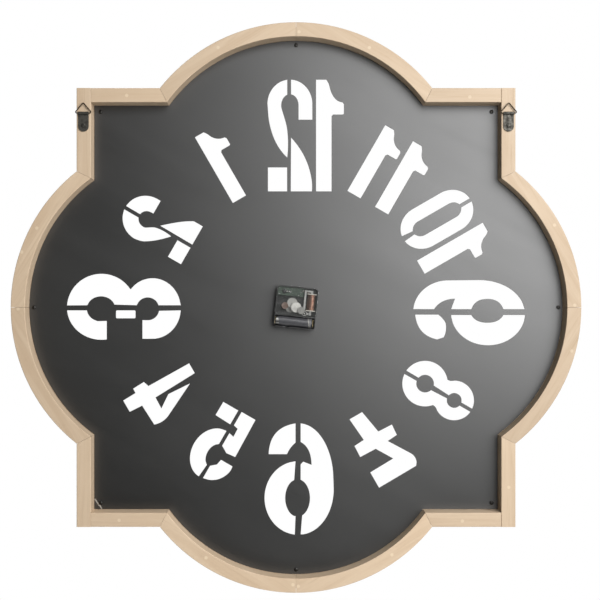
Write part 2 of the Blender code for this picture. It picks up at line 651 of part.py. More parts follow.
def build_movement():
    hub = bpy.data.objects.new("movement_frame", None)
    CLOCK.objects.link(hub)
    hub.rotation_euler = (0.0, radians(CASE_TILT), 0.0)
    bpy.context.view_layer.update()

    seconds_module = 0.38
    intermediate_module = 1.0 / 3.0
    third_module = 2 * TRAIN_DISTANCE / (45 + 6)
    centre_module = 2 * TRAIN_DISTANCE / (48 + 6)
    work_module = 2 * WORK_DISTANCE / (30 + 10)
    intermediate = place_on(INTERMEDIATE_ANGLE, seconds_module * (36 + 6) / 2)
    rotor = place_on(ROTOR_ANGLE, intermediate_module * (30 + 6) / 2, intermediate)
    reach = sqrt(SETTING[0] ** 2 + SETTING[1] ** 2)
    setting_angle = asin(SETTING[1] / reach)
    work_angle = setting_angle - acos(reach / 2 / WORK_DISTANCE)
    minute = place_on(work_angle, WORK_DISTANCE)

    def flat(name, outlines, front, back, at):
        return plate(name, outlines, back, front, WHITE_PLASTIC, at, hub)

    def arbor(name, at, front=PIVOT_FRONT, back=PIVOT_BACK):
        return rod(name, PIVOT_RADIUS, front, back, WHITE_PLASTIC, at, hub, 8)

    # Case, cover and the bush that clamps them to the dial
    half = CASE_SIZE / 2
    inside = half - CASE_WALL
    case = as_mesh(plate("movement_case", [rounded_box(-half, -half, half, half, CASE_CORNER)],
                         CASE_BACK, CASE_FRONT, BLACK_PLASTIC, SHAFT, hub))
    floor = CASE_FRONT + CASE_WALL
    works = rounded_box(-inside, PARTITION, inside, inside, 2.0, 3)
    bay = rounded_box(-inside, -inside, inside, PARTITION - CASE_WALL, 1.0, 2)
    for name, pocket in (("works", works), ("bay", bay)):
        cutter = as_mesh(plate(f"cut_{name}", [pocket], CASE_BACK + 1.0, floor, BLACK_PLASTIC,
                               SHAFT, hub))
        boolean(case, cutter, "DIFFERENCE")
    boolean(case, pins("cut_bush", [SHAFT], BUSH_RADIUS + FIT, CASE_FRONT - 1.0, floor + 1.0, hub, 24),
            "DIFFERENCE")
    sockets = [THIRD, intermediate, rotor, minute, SETTING]
    boolean(case, pins("cut_front_sockets", sockets, PIVOT_RADIUS + FIT, floor - SOCKET_DEPTH, floor + 1.0,
                       hub, 8), "DIFFERENCE")
    lid = rounded_box(-half, PARTITION - CASE_WALL, half, half, CASE_CORNER)
    cover = as_mesh(plate("rear_cover", [lid, circle(SETTING, 1.45, 12)], COVER_BACK, COVER_FRONT,
                          CLEAR_PLASTIC, SHAFT, hub))
    boolean(cover, pins("cut_rear_sockets", [SHAFT, THIRD, intermediate, rotor, minute],
                        PIVOT_RADIUS + FIT, COVER_FRONT - 1.0, COVER_FRONT + SOCKET_DEPTH, hub, 8),
            "DIFFERENCE")
    turned("threaded_bush", [(BUSH_BORE, -27.0), (BUSH_RADIUS - 0.3, -27.0), (BUSH_RADIUS, -26.7),
                             (BUSH_RADIUS, -18.25), (BUSH_RADIUS + 1.2, -18.25),
                             (BUSH_RADIUS + 1.2, -17.75), (BUSH_BORE, -17.75)],
           BRASS, SHAFT, hub, 24)
    bore = BUSH_RADIUS + GAP
    for name, radius, front, back, material in (("rubber_washer", 9.0, -20.5, -19.8, RUBBER),
                                                ("brass_washer", 7.5, -22.9, -22.2, BRASS)):
        turned(name, [(bore, front), (radius, front), (radius, back), (bore, back)],
               material, SHAFT, hub, 24)
    hexagon = circle(SHAFT, NUT_CORNER, 6)
    plate("hex_nut", [hexagon, circle(SHAFT, BUSH_RADIUS + FIT, 24)], -23.1, -25.3,
          BRASS, SHAFT, hub)

    # Time train, from the rotor to the centre wheel
    line = INTERMEDIATE_ANGLE
    seconds = flat("seconds_wheel", [gear_outline(36, seconds_module, line, WHEEL_TOOTH)],
                   -11.0, -10.4, SHAFT)
    seconds_leaf = pinion_phase(pi + pi / 4, 45, pi + pi / 4, 6)
    moulded("seconds_wheel", [seconds,
            flat("join_seconds_pinion", [gear_outline(6, third_module, seconds_leaf, PINION_TOOTH)],
                 -13.1, -10.8, SHAFT),
            arbor("join_seconds_arbor", SHAFT, -14.1)], WHITE_PLASTIC)
    leaf = pinion_phase(line, 36, line, 6)
    back_line = ROTOR_ANGLE
    wheel = flat("intermediate_wheel",
                 [gear_outline(30, intermediate_module, back_line, WHEEL_TOOTH)],
                 -9.2, -8.6, intermediate)
    moulded("intermediate_wheel", [wheel,
            flat("join_intermediate_pinion", [gear_outline(6, seconds_module, leaf, PINION_TOOTH)],
                 -11.2, -8.9, intermediate),
            arbor("join_intermediate_arbor", intermediate)], WHITE_PLASTIC)
    leaf = pinion_phase(back_line, 30, back_line, 6)
    pinion = flat("rotor_pinion", [gear_outline(6, intermediate_module, leaf, PINION_TOOTH)],
                  -9.4, -8.4, rotor)
    moulded("rotor_pinion", [pinion, arbor("join_rotor_arbor", rotor)], WHITE_PLASTIC)
    turned("rotor_magnet", [(PIVOT_RADIUS + FIT, -13.4), (MAGNET_RADIUS, -13.4),
                            (MAGNET_RADIUS, -10.4), (PIVOT_RADIUS + FIT, -10.4)],
           DARK_STEEL, rotor, hub, 16)
    wheel = flat("third_wheel", [gear_outline(45, third_module, pi + pi / 4, WHEEL_TOOTH)],
                 -12.9, -12.3, THIRD)
    leaf = pinion_phase(pi / 4, 48, pi / 4, 6)
    moulded("third_wheel", [wheel,
            flat("join_third_pinion", [gear_outline(6, centre_module, leaf, PINION_TOOTH)],
                 -15.2, -12.6, THIRD),
            arbor("join_third_arbor", THIRD)], WHITE_PLASTIC)
    flat("centre_wheel", [gear_outline(48, centre_module, pi / 4, WHEEL_TOOTH),
                          circle(SHAFT, ARBOR_RADIUS + FIT, 16)], -15.0, -14.4, SHAFT)

    # Motion work, from the minute arbor to the hour wheel
    cannon = flat("minute_arbor", [gear_outline(10, work_module, pinion_phase(
        work_angle + pi, 30, work_angle + pi, 10), PINION_TOOTH)], -16.4, -15.3, SHAFT)
    sleeve = turned("join_minute_sleeve",
                    [(0.0, -32.9), (ARBOR_RADIUS, -32.9), (ARBOR_RADIUS, -14.2), (2.3, -14.2),
                     (2.3, -13.5), (0.6, -13.5), (0.6, -14.3), (0.0, -14.3)],
                    DARK_STEEL, SHAFT, hub, 16)
    moulded("minute_arbor", [cannon, sleeve], DARK_STEEL)
    wheel = flat("minute_wheel", [gear_outline(30, work_module, work_angle + pi, WHEEL_TOOTH)],
                 -16.3, -15.5, minute)
    leaf = pinion_phase(work_angle, 32, work_angle, 8)
    moulded("minute_wheel", [wheel,
            flat("join_minute_pinion", [gear_outline(8, work_module, leaf, PINION_TOOTH)],
                 -17.7, -15.9, minute),
            arbor("join_minute_stud", minute)], WHITE_PLASTIC)
    wheel = flat("hour_wheel", [gear_outline(32, work_module, work_angle, WHEEL_TOOTH),
                                circle(SHAFT, PIPE_BORE, 16)], -17.5, -16.7, SHAFT)
    pipe = turned("join_hour_pipe", [(PIPE_BORE, -29.6), (PIPE_RADIUS, -29.6),
                                     (PIPE_RADIUS, -17.1), (PIPE_BORE, -17.1)],
                  WHITE_PLASTIC, SHAFT, hub, 16)
    moulded("hour_wheel", [wheel, pipe], WHITE_PLASTIC)

    # Setting knob behind the cover, geared to the minute wheel
    knob = turned("setting_knob", [(0.0, -3.3), (4.4, -3.3), (4.6, -3.0), (4.6, -1.6), (4.2, -1.2),
                                   (0.0, -1.2)], BROWN_PLASTIC, SETTING, hub, 20)
    setting_line = 2 * setting_angle - work_angle
    leaf = pinion_phase(setting_line, 30, work_angle + pi, 10)
    moulded("setting_knob", [knob,
            rod("join_setting_arbor", 1.2, -16.0, -2.6, BROWN_PLASTIC, SETTING, hub, 10),
            flat("join_setting_pinion", [gear_outline(10, work_module, leaf, PINION_TOOTH)],
                 -16.4, -15.4, SETTING),
            arbor("join_setting_pivot", SETTING, PIVOT_FRONT, -15.8)], BROWN_PLASTIC)

    build_motor(hub, rotor)
    build_cell(hub)


def build_motor(hub, rotor):
    """Stator with the coil's core, bobbin, winding, circuit board and crystal."""
    coil_x = COIL_ACROSS
    coil_low, coil_high = COIL_ENDS
    front, back = STATOR_DEPTHS
    stator = [(coil_x - 1.5, -9.0), (coil_x - 1.5, 24.6), (-9.6, 24.6), (-9.6, -3.6)]
    stator += arc(rotor, (POLE_RADIUS, POLE_RADIUS), 40, -155, 8)
    stator += [(coil_x + 2.0, -8.6), (coil_x + 2.0, -5.6)]
    stator += arc(rotor, (POLE_RADIUS, POLE_RADIUS), 153, 115, 2)
    stator += [(-12.4, -3.2), (-12.4, 22.0), (coil_x + 1.5, 22.0), (coil_x + 1.5, -9.0)]
    plate("stator", [stator, circle(rotor, MAGNET_RADIUS + 0.4, 16)], back, front, STEEL, SHAFT, hub)
    middle = (back + front) / 2
    half = 6.4
    bobbin_parts = []
    for name, low, high, size in (("low", coil_low, coil_low + 1.2, half),
                                  ("high", coil_high - 1.2, coil_high, half),
                                  ("tube", coil_low + 0.6, coil_high - 0.6, 2.9)):
        box = rounded_box(coil_x - size, low, coil_x + size, high, 0.3, 1)
        bobbin_parts.append(plate(f"join_bobbin_{name}", [box], middle + size, middle - size,
                                  BLACK_PLASTIC, SHAFT, hub))
    bobbin = moulded("coil_bobbin", bobbin_parts, WHITE_PLASTIC)
    core = rounded_box(coil_x - 1.9, coil_low - 2.0, coil_x + 1.9, coil_high + 2.0, 0.2, 1)
    boolean(bobbin, as_mesh(plate("cut_core", [core], back + 0.4, front - 0.4, STEEL, SHAFT, hub)),
            "DIFFERENCE")
    low, high, outer, inner = coil_low + 1.4, coil_high - 1.4, COIL_RADIUS, 4.4
    winding = turned("coil_winding", [(inner, low), (outer - 0.2, low), (outer, low + 0.2),
                                      (outer, high - 0.2), (outer - 0.2, high), (inner, high)],
                     COPPER, SHAFT, hub, 24)
    winding.rotation_euler = (pi, 0.0, 0.0)
    winding.location = (coil_x * MM, middle * MM, 0.0)

    board = rounded_box(-8.4, 14.6, 26.4, 26.4, 1.0, 2)
    plate("circuit_board", [board], -8.0, -9.0, BOARD, SHAFT, hub)
    crystal = rod("crystal", 1.0, 10.0, 16.0, STEEL, SHAFT, hub, 12)
    crystal.rotation_euler = (0.0, -pi / 2, 0.0)
    crystal.location = (0.0, -6.8 * MM, 20.5 * MM)


def build_cell(hub):
    """AA cell lying across the bay, and the sprung contacts at its two ends."""
    low, high = CELL_ENDS
    cell = turned("aa_cell", [(0.0, low), (2.6, low), (2.6, low + 1.2), (6.7, low + 1.2),
                              (CELL_RADIUS, low + 1.6), (CELL_RADIUS, high - 0.4),
                              (6.7, high), (0.0, high)], CELL, SHAFT, hub, 24)
    cell.rotation_euler = (0.0, -pi / 2, 0.0)
    cell.location = (0.0, CELL_AXIS * MM, CELL_UP * MM)
    for name, face, away in (("contact_minus", high + GAP, 1), ("contact_plus", low - GAP, -1)):
        flange = rounded_box(min(face, face + away * 0.4), CELL_UP - 4.5,
                             max(face, face + away * 0.4), CELL_UP + 4.5, 0.05, 1)
        plate(name, [flange], -6.0, -16.5, BRASS, SHAFT, hub)


# ---------------------------------------------------------------- hands

def hand_outline(length, tail, hub, shoulder):
    """A tapered hand with a round hub and a short tail."""
    near = asin(shoulder / hub) * 180 / pi
    outline = arc(SHAFT, (hub, hub), 90 + near, 270 - near * 0.7, 8)
    outline += [(-shoulder * 0.7, -tail + 2.0), (0.0, -tail), (shoulder * 0.7, -tail + 2.0)]
    outline += arc(SHAFT, (hub, hub), 270 + near * 0.7, 450 - near, 8)
    widest = length * 0.72
    outline += [(shoulder * 1.9, widest), (0.0, length), (-shoulder * 1.9, widest)]
    return outline


def build_hands():
    hour = [turn(hand_outline(HOUR_HAND, 20.0, 6.5, 2.6), HOUR_ANGLE),
            circle(SHAFT, PIPE_RADIUS + FIT)]
    minute = [turn(hand_outline(MINUTE_HAND, 28.0, 5.5, 2.2), MINUTE_ANGLE),
              circle(SHAFT, ARBOR_RADIUS + FIT)]
    plate("hour_hand", hour, HOUR_HAND_DEPTHS[1], HOUR_HAND_DEPTHS[0], HAND)
    plate("minute_hand", minute, MINUTE_HAND_DEPTHS[1], MINUTE_HAND_DEPTHS[0], HAND)
    bore = ARBOR_RADIUS + FIT
    turned("cap_nut", [(0.0, -34.2), (1.4, -33.9), (2.4, -33.1), (2.7, -31.9), (bore, -31.9),
                       (bore, -33.1), (0.0, -33.1)], BRASS, SHAFT, None, 16)


build_rim()
build_ring()
build_dial()
build_hangers()
build_movement()
build_hands()
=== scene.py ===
"""Finished pieces of a quatrefoil wall clock with a stencilled metal dial.

Each piece is made round the clock's solid model, in the same place and size. The front of the
clock faces -Y and its back faces +Y. Sizes are in metres.
"""

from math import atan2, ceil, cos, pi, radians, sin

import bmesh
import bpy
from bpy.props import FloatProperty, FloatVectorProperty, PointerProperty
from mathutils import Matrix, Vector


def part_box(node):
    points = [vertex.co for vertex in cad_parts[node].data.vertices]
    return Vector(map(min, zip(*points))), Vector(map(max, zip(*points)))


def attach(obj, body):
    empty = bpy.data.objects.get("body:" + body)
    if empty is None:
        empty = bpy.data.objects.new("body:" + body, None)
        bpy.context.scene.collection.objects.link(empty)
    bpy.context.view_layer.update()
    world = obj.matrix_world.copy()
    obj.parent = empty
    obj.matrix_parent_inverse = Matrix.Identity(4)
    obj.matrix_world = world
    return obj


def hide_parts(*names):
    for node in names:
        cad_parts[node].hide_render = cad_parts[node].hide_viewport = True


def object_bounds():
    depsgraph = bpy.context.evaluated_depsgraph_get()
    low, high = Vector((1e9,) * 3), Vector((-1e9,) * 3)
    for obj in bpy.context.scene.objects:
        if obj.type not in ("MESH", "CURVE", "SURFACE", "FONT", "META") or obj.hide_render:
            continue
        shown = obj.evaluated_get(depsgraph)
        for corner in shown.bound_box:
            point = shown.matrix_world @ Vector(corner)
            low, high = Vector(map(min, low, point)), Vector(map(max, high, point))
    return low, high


bl_info = {
    "name": "Quatrefoil Wall Clock",
    "version": (1, 0, 0),
    "blender": (4, 5, 0),
    "location": "View3D > Sidebar > Clock",
    "description": "Makes the pieces, finishes, lights and camera of a stencil wall clock",
    "category": "Add Mesh",
}

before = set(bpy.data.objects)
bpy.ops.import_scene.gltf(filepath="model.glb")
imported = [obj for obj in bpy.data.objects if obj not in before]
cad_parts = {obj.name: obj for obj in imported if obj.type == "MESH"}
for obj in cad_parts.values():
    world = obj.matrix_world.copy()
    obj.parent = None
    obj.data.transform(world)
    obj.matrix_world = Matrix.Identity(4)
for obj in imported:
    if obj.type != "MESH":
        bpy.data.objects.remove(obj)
CAD_LOW, CAD_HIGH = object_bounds()

MM = 0.001
MERGE = 1e-6                           # corners closer than this are one
ONE_FACE = radians(0.5)                # faces that bend less than this are one
CASE_TILT = radians(-6.0)              # the movement hangs a little askew on the dial
CASE_WALL = 1.2 * MM
CASE_CORNER = 5 * MM
LOBE_RADIUS = 232 * MM
LOBE_OFFSET = CAD_HIGH.x - LOBE_RADIUS
SCREW_SHANK = 1.5 * MM                 # radius over the thread
AXES = {"X": (1, 0, 0), "Y": (0, 1, 0), "Z": (0, 0, 1)}


# ---------------------------------------------------------------- hand tools

def deselect():
    """Leave edit mode and select nothing."""
    if bpy.context.object is not None and bpy.context.object.mode != "OBJECT":
        bpy.ops.object.mode_set(mode="OBJECT")
    bpy.ops.object.select_all(action="DESELECT")


def take(piece):
    deselect()
    piece.select_set(True)
    bpy.context.view_layer.objects.active = piece
    return piece


def edit(piece):
    take(piece)
    bpy.ops.object.mode_set(mode="EDIT")
    bpy.ops.mesh.select_mode(type="VERT")
    bpy.ops.mesh.select_all(action="SELECT")


def leave():
    bpy.ops.object.mode_set(mode="OBJECT")
    return bpy.context.object


def at_depth(part, depth):
    """Whether all of an edge or a face lies at one depth."""
    return all(abs(corner.co.y - depth) < MERGE for corner in part.verts)


def pick_edges(piece, wanted):
    """In edit mode, select only the edges that are wanted."""
    bpy.ops.mesh.select_mode(type="EDGE")
    bpy.ops.mesh.select_all(action="DESELECT")
    shape = bmesh.from_edit_mesh(piece.data)
    for edge in shape.edges:
        edge.select_set(wanted(edge))
    bmesh.update_edit_mesh(piece.data)


def settle(piece):
    """Put a piece's place, turn and size into its mesh."""
    take(piece)
    bpy.ops.object.transform_apply(location=True, rotation=True, scale=True)
    return piece


def seal(piece):
    """Merge what coincides and point the faces outwards."""
    edit(piece)
    bpy.ops.mesh.remove_doubles(threshold=MERGE)
    bpy.ops.mesh.normals_make_consistent(inside=False)
    return leave()


def apply_modifiers(piece):
    take(piece)
    for modifier in list(piece.modifiers):
        bpy.ops.object.modifier_apply(modifier=modifier.name)
    return piece


def soften(piece, width, segments=2, angle=35):
    """Round every edge that is sharper than an angle."""
    rounding = piece.modifiers.new("soften", "BEVEL")
    rounding.width = width
    rounding.segments = segments
    rounding.limit_method = "ANGLE"
    rounding.angle_limit = radians(angle)
    rounding.use_clamp_overlap = True
    return apply_modifiers(piece)


def smooth(piece, angle=40):
    """Shade a piece smoothly up to an angle, and keep its flat faces looking flat."""
    take(piece)
    bpy.ops.object.shade_smooth_by_angle(angle=radians(angle))
    flatten = piece.modifiers.new("flatten", "WEIGHTED_NORMAL")
    flatten.mode = "FACE_AREA_WITH_ANGLE"
    flatten.weight = 100
    flatten.keep_sharp = True
    return apply_modifiers(piece)


def eased(piece, width, segments=1, angle=48, shading=32):
    """A piece with its edges rounded, its seams closed and its shading smooth."""
    return smooth(seal(soften(piece, width, segments, angle)), shading)


def combine(piece, *others, operation="DIFFERENCE"):
    """Cut shapes away from a piece, or join them to it, and use them up."""
    for other in others:
        step = piece.modifiers.new("combine", "BOOLEAN")
        step.operation = operation
        step.solver = "EXACT"
        step.object = other
        apply_modifiers(piece)
        bpy.data.objects.remove(other, do_unlink=True)
    return piece


def gather(name, pieces):
    """Several separate shapes as one piece."""
    deselect()
    for piece in pieces:
        piece.select_set(True)
    bpy.context.view_layer.objects.active = pieces[0]
    bpy.ops.object.join()
    pieces[0].name = name
    return pieces[0]


def twin(piece, name, matrix):
    """A copy of a piece with its own mesh, moved by a matrix."""
    copy = piece.copy()
    copy.data = piece.data.copy()
    copy.name = name
    copy.data.transform(matrix)
    bpy.context.scene.collection.objects.link(copy)
    return copy


def merged_copy(node, name):
    """A copy of a solid-model part with its loose triangles welded into whole faces."""
    copy = bpy.data.objects.new(name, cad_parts[node].data.copy())
    bpy.context.scene.collection.objects.link(copy)
    copy.data.materials.clear()
    edit(copy)
    bpy.ops.mesh.remove_doubles(threshold=MERGE)
    bpy.ops.mesh.customdata_custom_splitnormals_clear()
    bpy.ops.mesh.dissolve_limited(angle_limit=ONE_FACE)
    return leave()


def finish_piece(piece, body, slot, surface, *nodes):
    """Give a piece its finish, its moving body and the parts that it stands for."""
    piece.data.materials.clear()
    piece.data.materials.append(surface)
    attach(piece, body)
    if nodes:
        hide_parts(*nodes)
    return piece


# ---------------------------------------------------------------- places

def depths(node):
    """A part's back and front."""
    low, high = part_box(node)
    return high.y, low.y


def seat(piece):
    """Turn a piece made square to the movement as the movement is turned."""
    piece.data.transform(Matrix.Rotation(CASE_TILT, 4, "Y"))
    return piece


def seated_box(node):
    """A part's lowest and highest corners in the movement's own, unturned axes."""
    unturn = Matrix.Rotation(-CASE_TILT, 3, "Y")
    places = [unturn @ v.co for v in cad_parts[node].data.vertices]
    return (Vector(map(min, zip(*places))), Vector(map(max, zip(*places))))


def axis_of(node):
    """Where a round part's axis stands, across and up: the mean of its corners."""
    places = {tuple(round(c, 7) for c in v.co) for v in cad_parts[node].data.vertices}
    return (sum(p[0] for p in places) / len(places), sum(p[2] for p in places) / len(places))


def seated_axis(node):
    x, z = axis_of(node)
    place = Matrix.Rotation(-CASE_TILT, 3, "Y") @ Vector((x, 0, z))
    return place.x, place.z


# ---------------------------------------------------------------- outlines

def outline(node):
    """Closed loops of points, across and up, round a flat part's back. The longest way round,
    which is the outside, comes first."""
    back = depths(node)[0]
    shape = bmesh.new()
    shape.from_mesh(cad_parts[node].data)
    bmesh.ops.remove_doubles(shape, verts=shape.verts, dist=MERGE)
    flat = {f for f in shape.faces if at_depth(f, back)}
    # A dictionary keeps its order, so the loops start at the same corners each time
    edges = {e: None for e in shape.edges if sum(f in flat for f in e.link_faces) == 1}
    loops = []
    while edges:
        edge = next(iter(edges))
        del edges[edge]
        start, here = edge.verts
        loop = [start]
        while here is not start:
            loop.append(here)
            edge = next(e for e in here.link_edges if e in edges)
            del edges[edge]
            here = edge.other_vert(here)
        loops.append([Vector((v.co.x, v.co.z)) for v in loop])
    shape.free()
    loops.sort(key=length_round, reverse=True)
    return loops


def length_round(points):
    return sum((a - b).length for a, b in zip(points, points[1:] + points[:1]))


def rounded(points, corner=radians(33)):
    """Redraw a faceted outline with smooth curves between its true corners. A side much longer
    than the next one is straight, and the curve leaves it straight on."""
    count = len(points)
    much_longer = 2.2
    step = radians(3)
    ahead = [(points[(i + 1) % count] - points[i]) for i in range(count)]
    turns = [abs(ahead[i - 1].angle_signed(ahead[i])) for i in range(count)]

    def slope(i):
        before, after = ahead[i - 1], ahead[i]
        if before.length > much_longer * after.length:
            return before.normalized()
        if after.length > much_longer * before.length:
            return after.normalized()
        return (before + after).normalized()

    fine = []
    for i in range(count):
        j = (i + 1) % count
        chord = ahead[i]
        way = chord.normalized()
        soft = [k for k in (i, j) if turns[k] < corner]
        leave_slope = slope(i) if i in soft else way
        reach_slope = slope(j) if j in soft else way
        if soft == [i]:
            reach_slope = 2 * way.dot(leave_slope) * way - leave_slope
        if soft == [j]:
            leave_slope = 2 * way.dot(reach_slope) * way - reach_slope
        pieces = max(1, ceil(max([turns[k] for k in soft], default=0.0) / step))
        for part in range(pieces):
            t = part / pieces
            fine.append(points[i] * (2 * t ** 3 - 3 * t ** 2 + 1)
                        + points[j] * (3 * t ** 2 - 2 * t ** 3)
                        + leave_slope * chord.length * (t ** 3 - 2 * t ** 2 + t)
                        + reach_slope * chord.length * (t ** 3 - t ** 2))
    return fine


def arc(centre, radius, start, end, steps):
    """Points on a circle from one angle to another, in degrees."""
    return [Vector((centre[0] + radius * cos(radians(start + (end - start) * i / steps)),
                    centre[1] + radius * sin(radians(start + (end - start) * i / steps))))
            for i in range(steps + 1)]


def circle(centre, radius, steps=48):
    return arc(centre, radius, 0, 360, steps)[:-1]


def rounded_box(low, high, radius):
    """A rectangle's outline with round corners, low and high being opposite corners."""
    points = []
    corners = ((high[0], high[1], 0), (low[0], high[1], 90),
               (low[0], low[1], 180), (high[0], low[1], 270))
    for x, z, angle in corners:
        centre = (x - radius if x == high[0] else x + radius,
                  z - radius if z == high[1] else z + radius)
        points += arc(centre, radius, angle, angle + 90, 8)
    return points


def quatrefoil(inset):
    """Four lobes on the sides of a square, drawn in from the outside by an inset."""
    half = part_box("rim_upper_right_stile")[1].x - inset
    radius = LOBE_RADIUS - inset
    meet = atan2((radius ** 2 - (half - LOBE_OFFSET) ** 2) ** 0.5, half - LOBE_OFFSET) * 180 / pi
    points = []
    for side in range(4):
        lobe = arc((0, LOBE_OFFSET), radius, 90 + meet, 90 - meet, 36) + [Vector((half, half))]
        quarter = Matrix.Rotation(-side * pi / 2, 2)
        points += [quarter @ p for p in lobe]
    return points


# ---------------------------------------------------------------- shapes

def plate(name, loops, back, front, edge=0.0, segments=2):
    """A flat piece between two depths with rounded edges; loops after the first are holes.
    With no depth between them it is left as bare outlines."""
    deselect()
    curve = bpy.data.curves.new(name, "CURVE")
    curve.dimensions = "2D"
    curve.fill_mode = "BOTH" if back > front else "NONE"
    curve.extrude = (back - front) / 2 - edge if back > front else 0.0
    curve.bevel_depth = edge
    curve.bevel_resolution = segments - 1
    curve.offset = -edge
    for loop in loops:
        spline = curve.splines.new("POLY")
        spline.points.add(len(loop) - 1)
        for point, place in zip(spline.points, loop):
            point.co = (place[0], place[1], 0, 1)
        spline.use_cyclic_u = True
    piece = bpy.data.objects.new(name, curve)
    bpy.context.scene.collection.objects.link(piece)
    piece.location.y = (back + front) / 2
    piece.rotation_euler.x = pi / 2
    take(piece)
    bpy.ops.object.convert(target="MESH")
    return seal(settle(bpy.context.object))


def turned(name, profile, axis="Y", at=(0, 0, 0), steps=64):
    """A piece turned about an axis from a profile of (radius, place along the axis)."""
    side = AXES["Y" if axis == "X" else "X"]
    points = [Vector(side) * radius + Vector(AXES[axis]) * along for radius, along in profile]
    if profile[0][0] > 0:
        points.append(points[0])
    deselect()
    bpy.ops.mesh.primitive_plane_add(size=MM)
    edit(bpy.context.object)
    bpy.ops.mesh.merge(type="CENTER")
    bpy.ops.transform.translate(value=tuple(points[0]))
    for before, after in zip(points, points[1:]):
        bpy.ops.mesh.extrude_vertices_move(TRANSFORM_OT_translate={"value": tuple(after - before)})
    bpy.ops.mesh.select_all(action="SELECT")
    bpy.ops.mesh.spin(steps=steps, angle=2 * pi, center=(0, 0, 0), axis=AXES[axis])
    piece = leave()
    piece.name = name
    piece.location = at
    return seal(settle(piece))


def rod(name, radius, start, end, axis="Y", at=(0, 0, 0), steps=64, end_radius=None):
    """A rod between two places along an axis, tapered when its end has another radius."""
    profile = [(0, start), (radius, start), (end_radius or radius, end), (0, end)]
    return turned(name, profile, axis, at, steps)


def tube(name, points, radius, closed, sides):
    """A round wire along points."""
    deselect()
    curve = bpy.data.curves.new(name, "CURVE")
    curve.dimensions = "3D"
    curve.bevel_depth = radius
    curve.bevel_resolution = sides // 4 - 1
    curve.use_fill_caps = not closed
    spline = curve.splines.new("POLY")
    spline.points.add(len(points) - 1)
    for point, place in zip(spline.points, points):
        point.co = (*place, 1)
    spline.use_cyclic_u = closed
    piece = bpy.data.objects.new(name, curve)
    bpy.context.scene.collection.objects.link(piece)
    take(piece)
    bpy.ops.object.convert(target="MESH")
    return seal(bpy.context.object)


def block(name, low, high):
    """A box between two corners."""
    deselect()
    low, high = Vector(low), Vector(high)
    bpy.ops.mesh.primitive_cube_add(size=1, location=(low + high) / 2)
    piece = bpy.context.object
    piece.name = name
    piece.scale = high - low
    return settle(piece)


def dome(name, at, radius, height, steps):
    """A low round dome standing out from a face towards the back."""
    profile = [(0, at[1]), (radius, at[1])]
    profile += [(radius * cos(radians(a)), at[1] + height * sin(radians(a)))
                for a in range(15, 90, 15)]
    profile += [(0, at[1] + height)]
    return turned(name, profile, "Y", (at[0], 0, at[2]), steps)


# ---------------------------------------------------------------- finishes

DUST = (0.30, 0.29, 0.27)
DRIED_FILLER = (0.62, 0.59, 0.54)
BRIGHT_COPPER = (0.58, 0.40, 0.31)
CELL_WEAR = (0.35, 0.35, 0.36)
CELL_STRIPE = (0.30, 0.29, 0.26)
CELL_STEEL = (0.26, 0.26, 0.25)
BARE_BOARD = (0.028, 0.042, 0.032)
LACQUERED_TRACK = (0.058, 0.088, 0.062)
FRESH_RUBBER = (0.014, 0.014, 0.014)
DUSTY_RUBBER = (0.045, 0.044, 0.042)


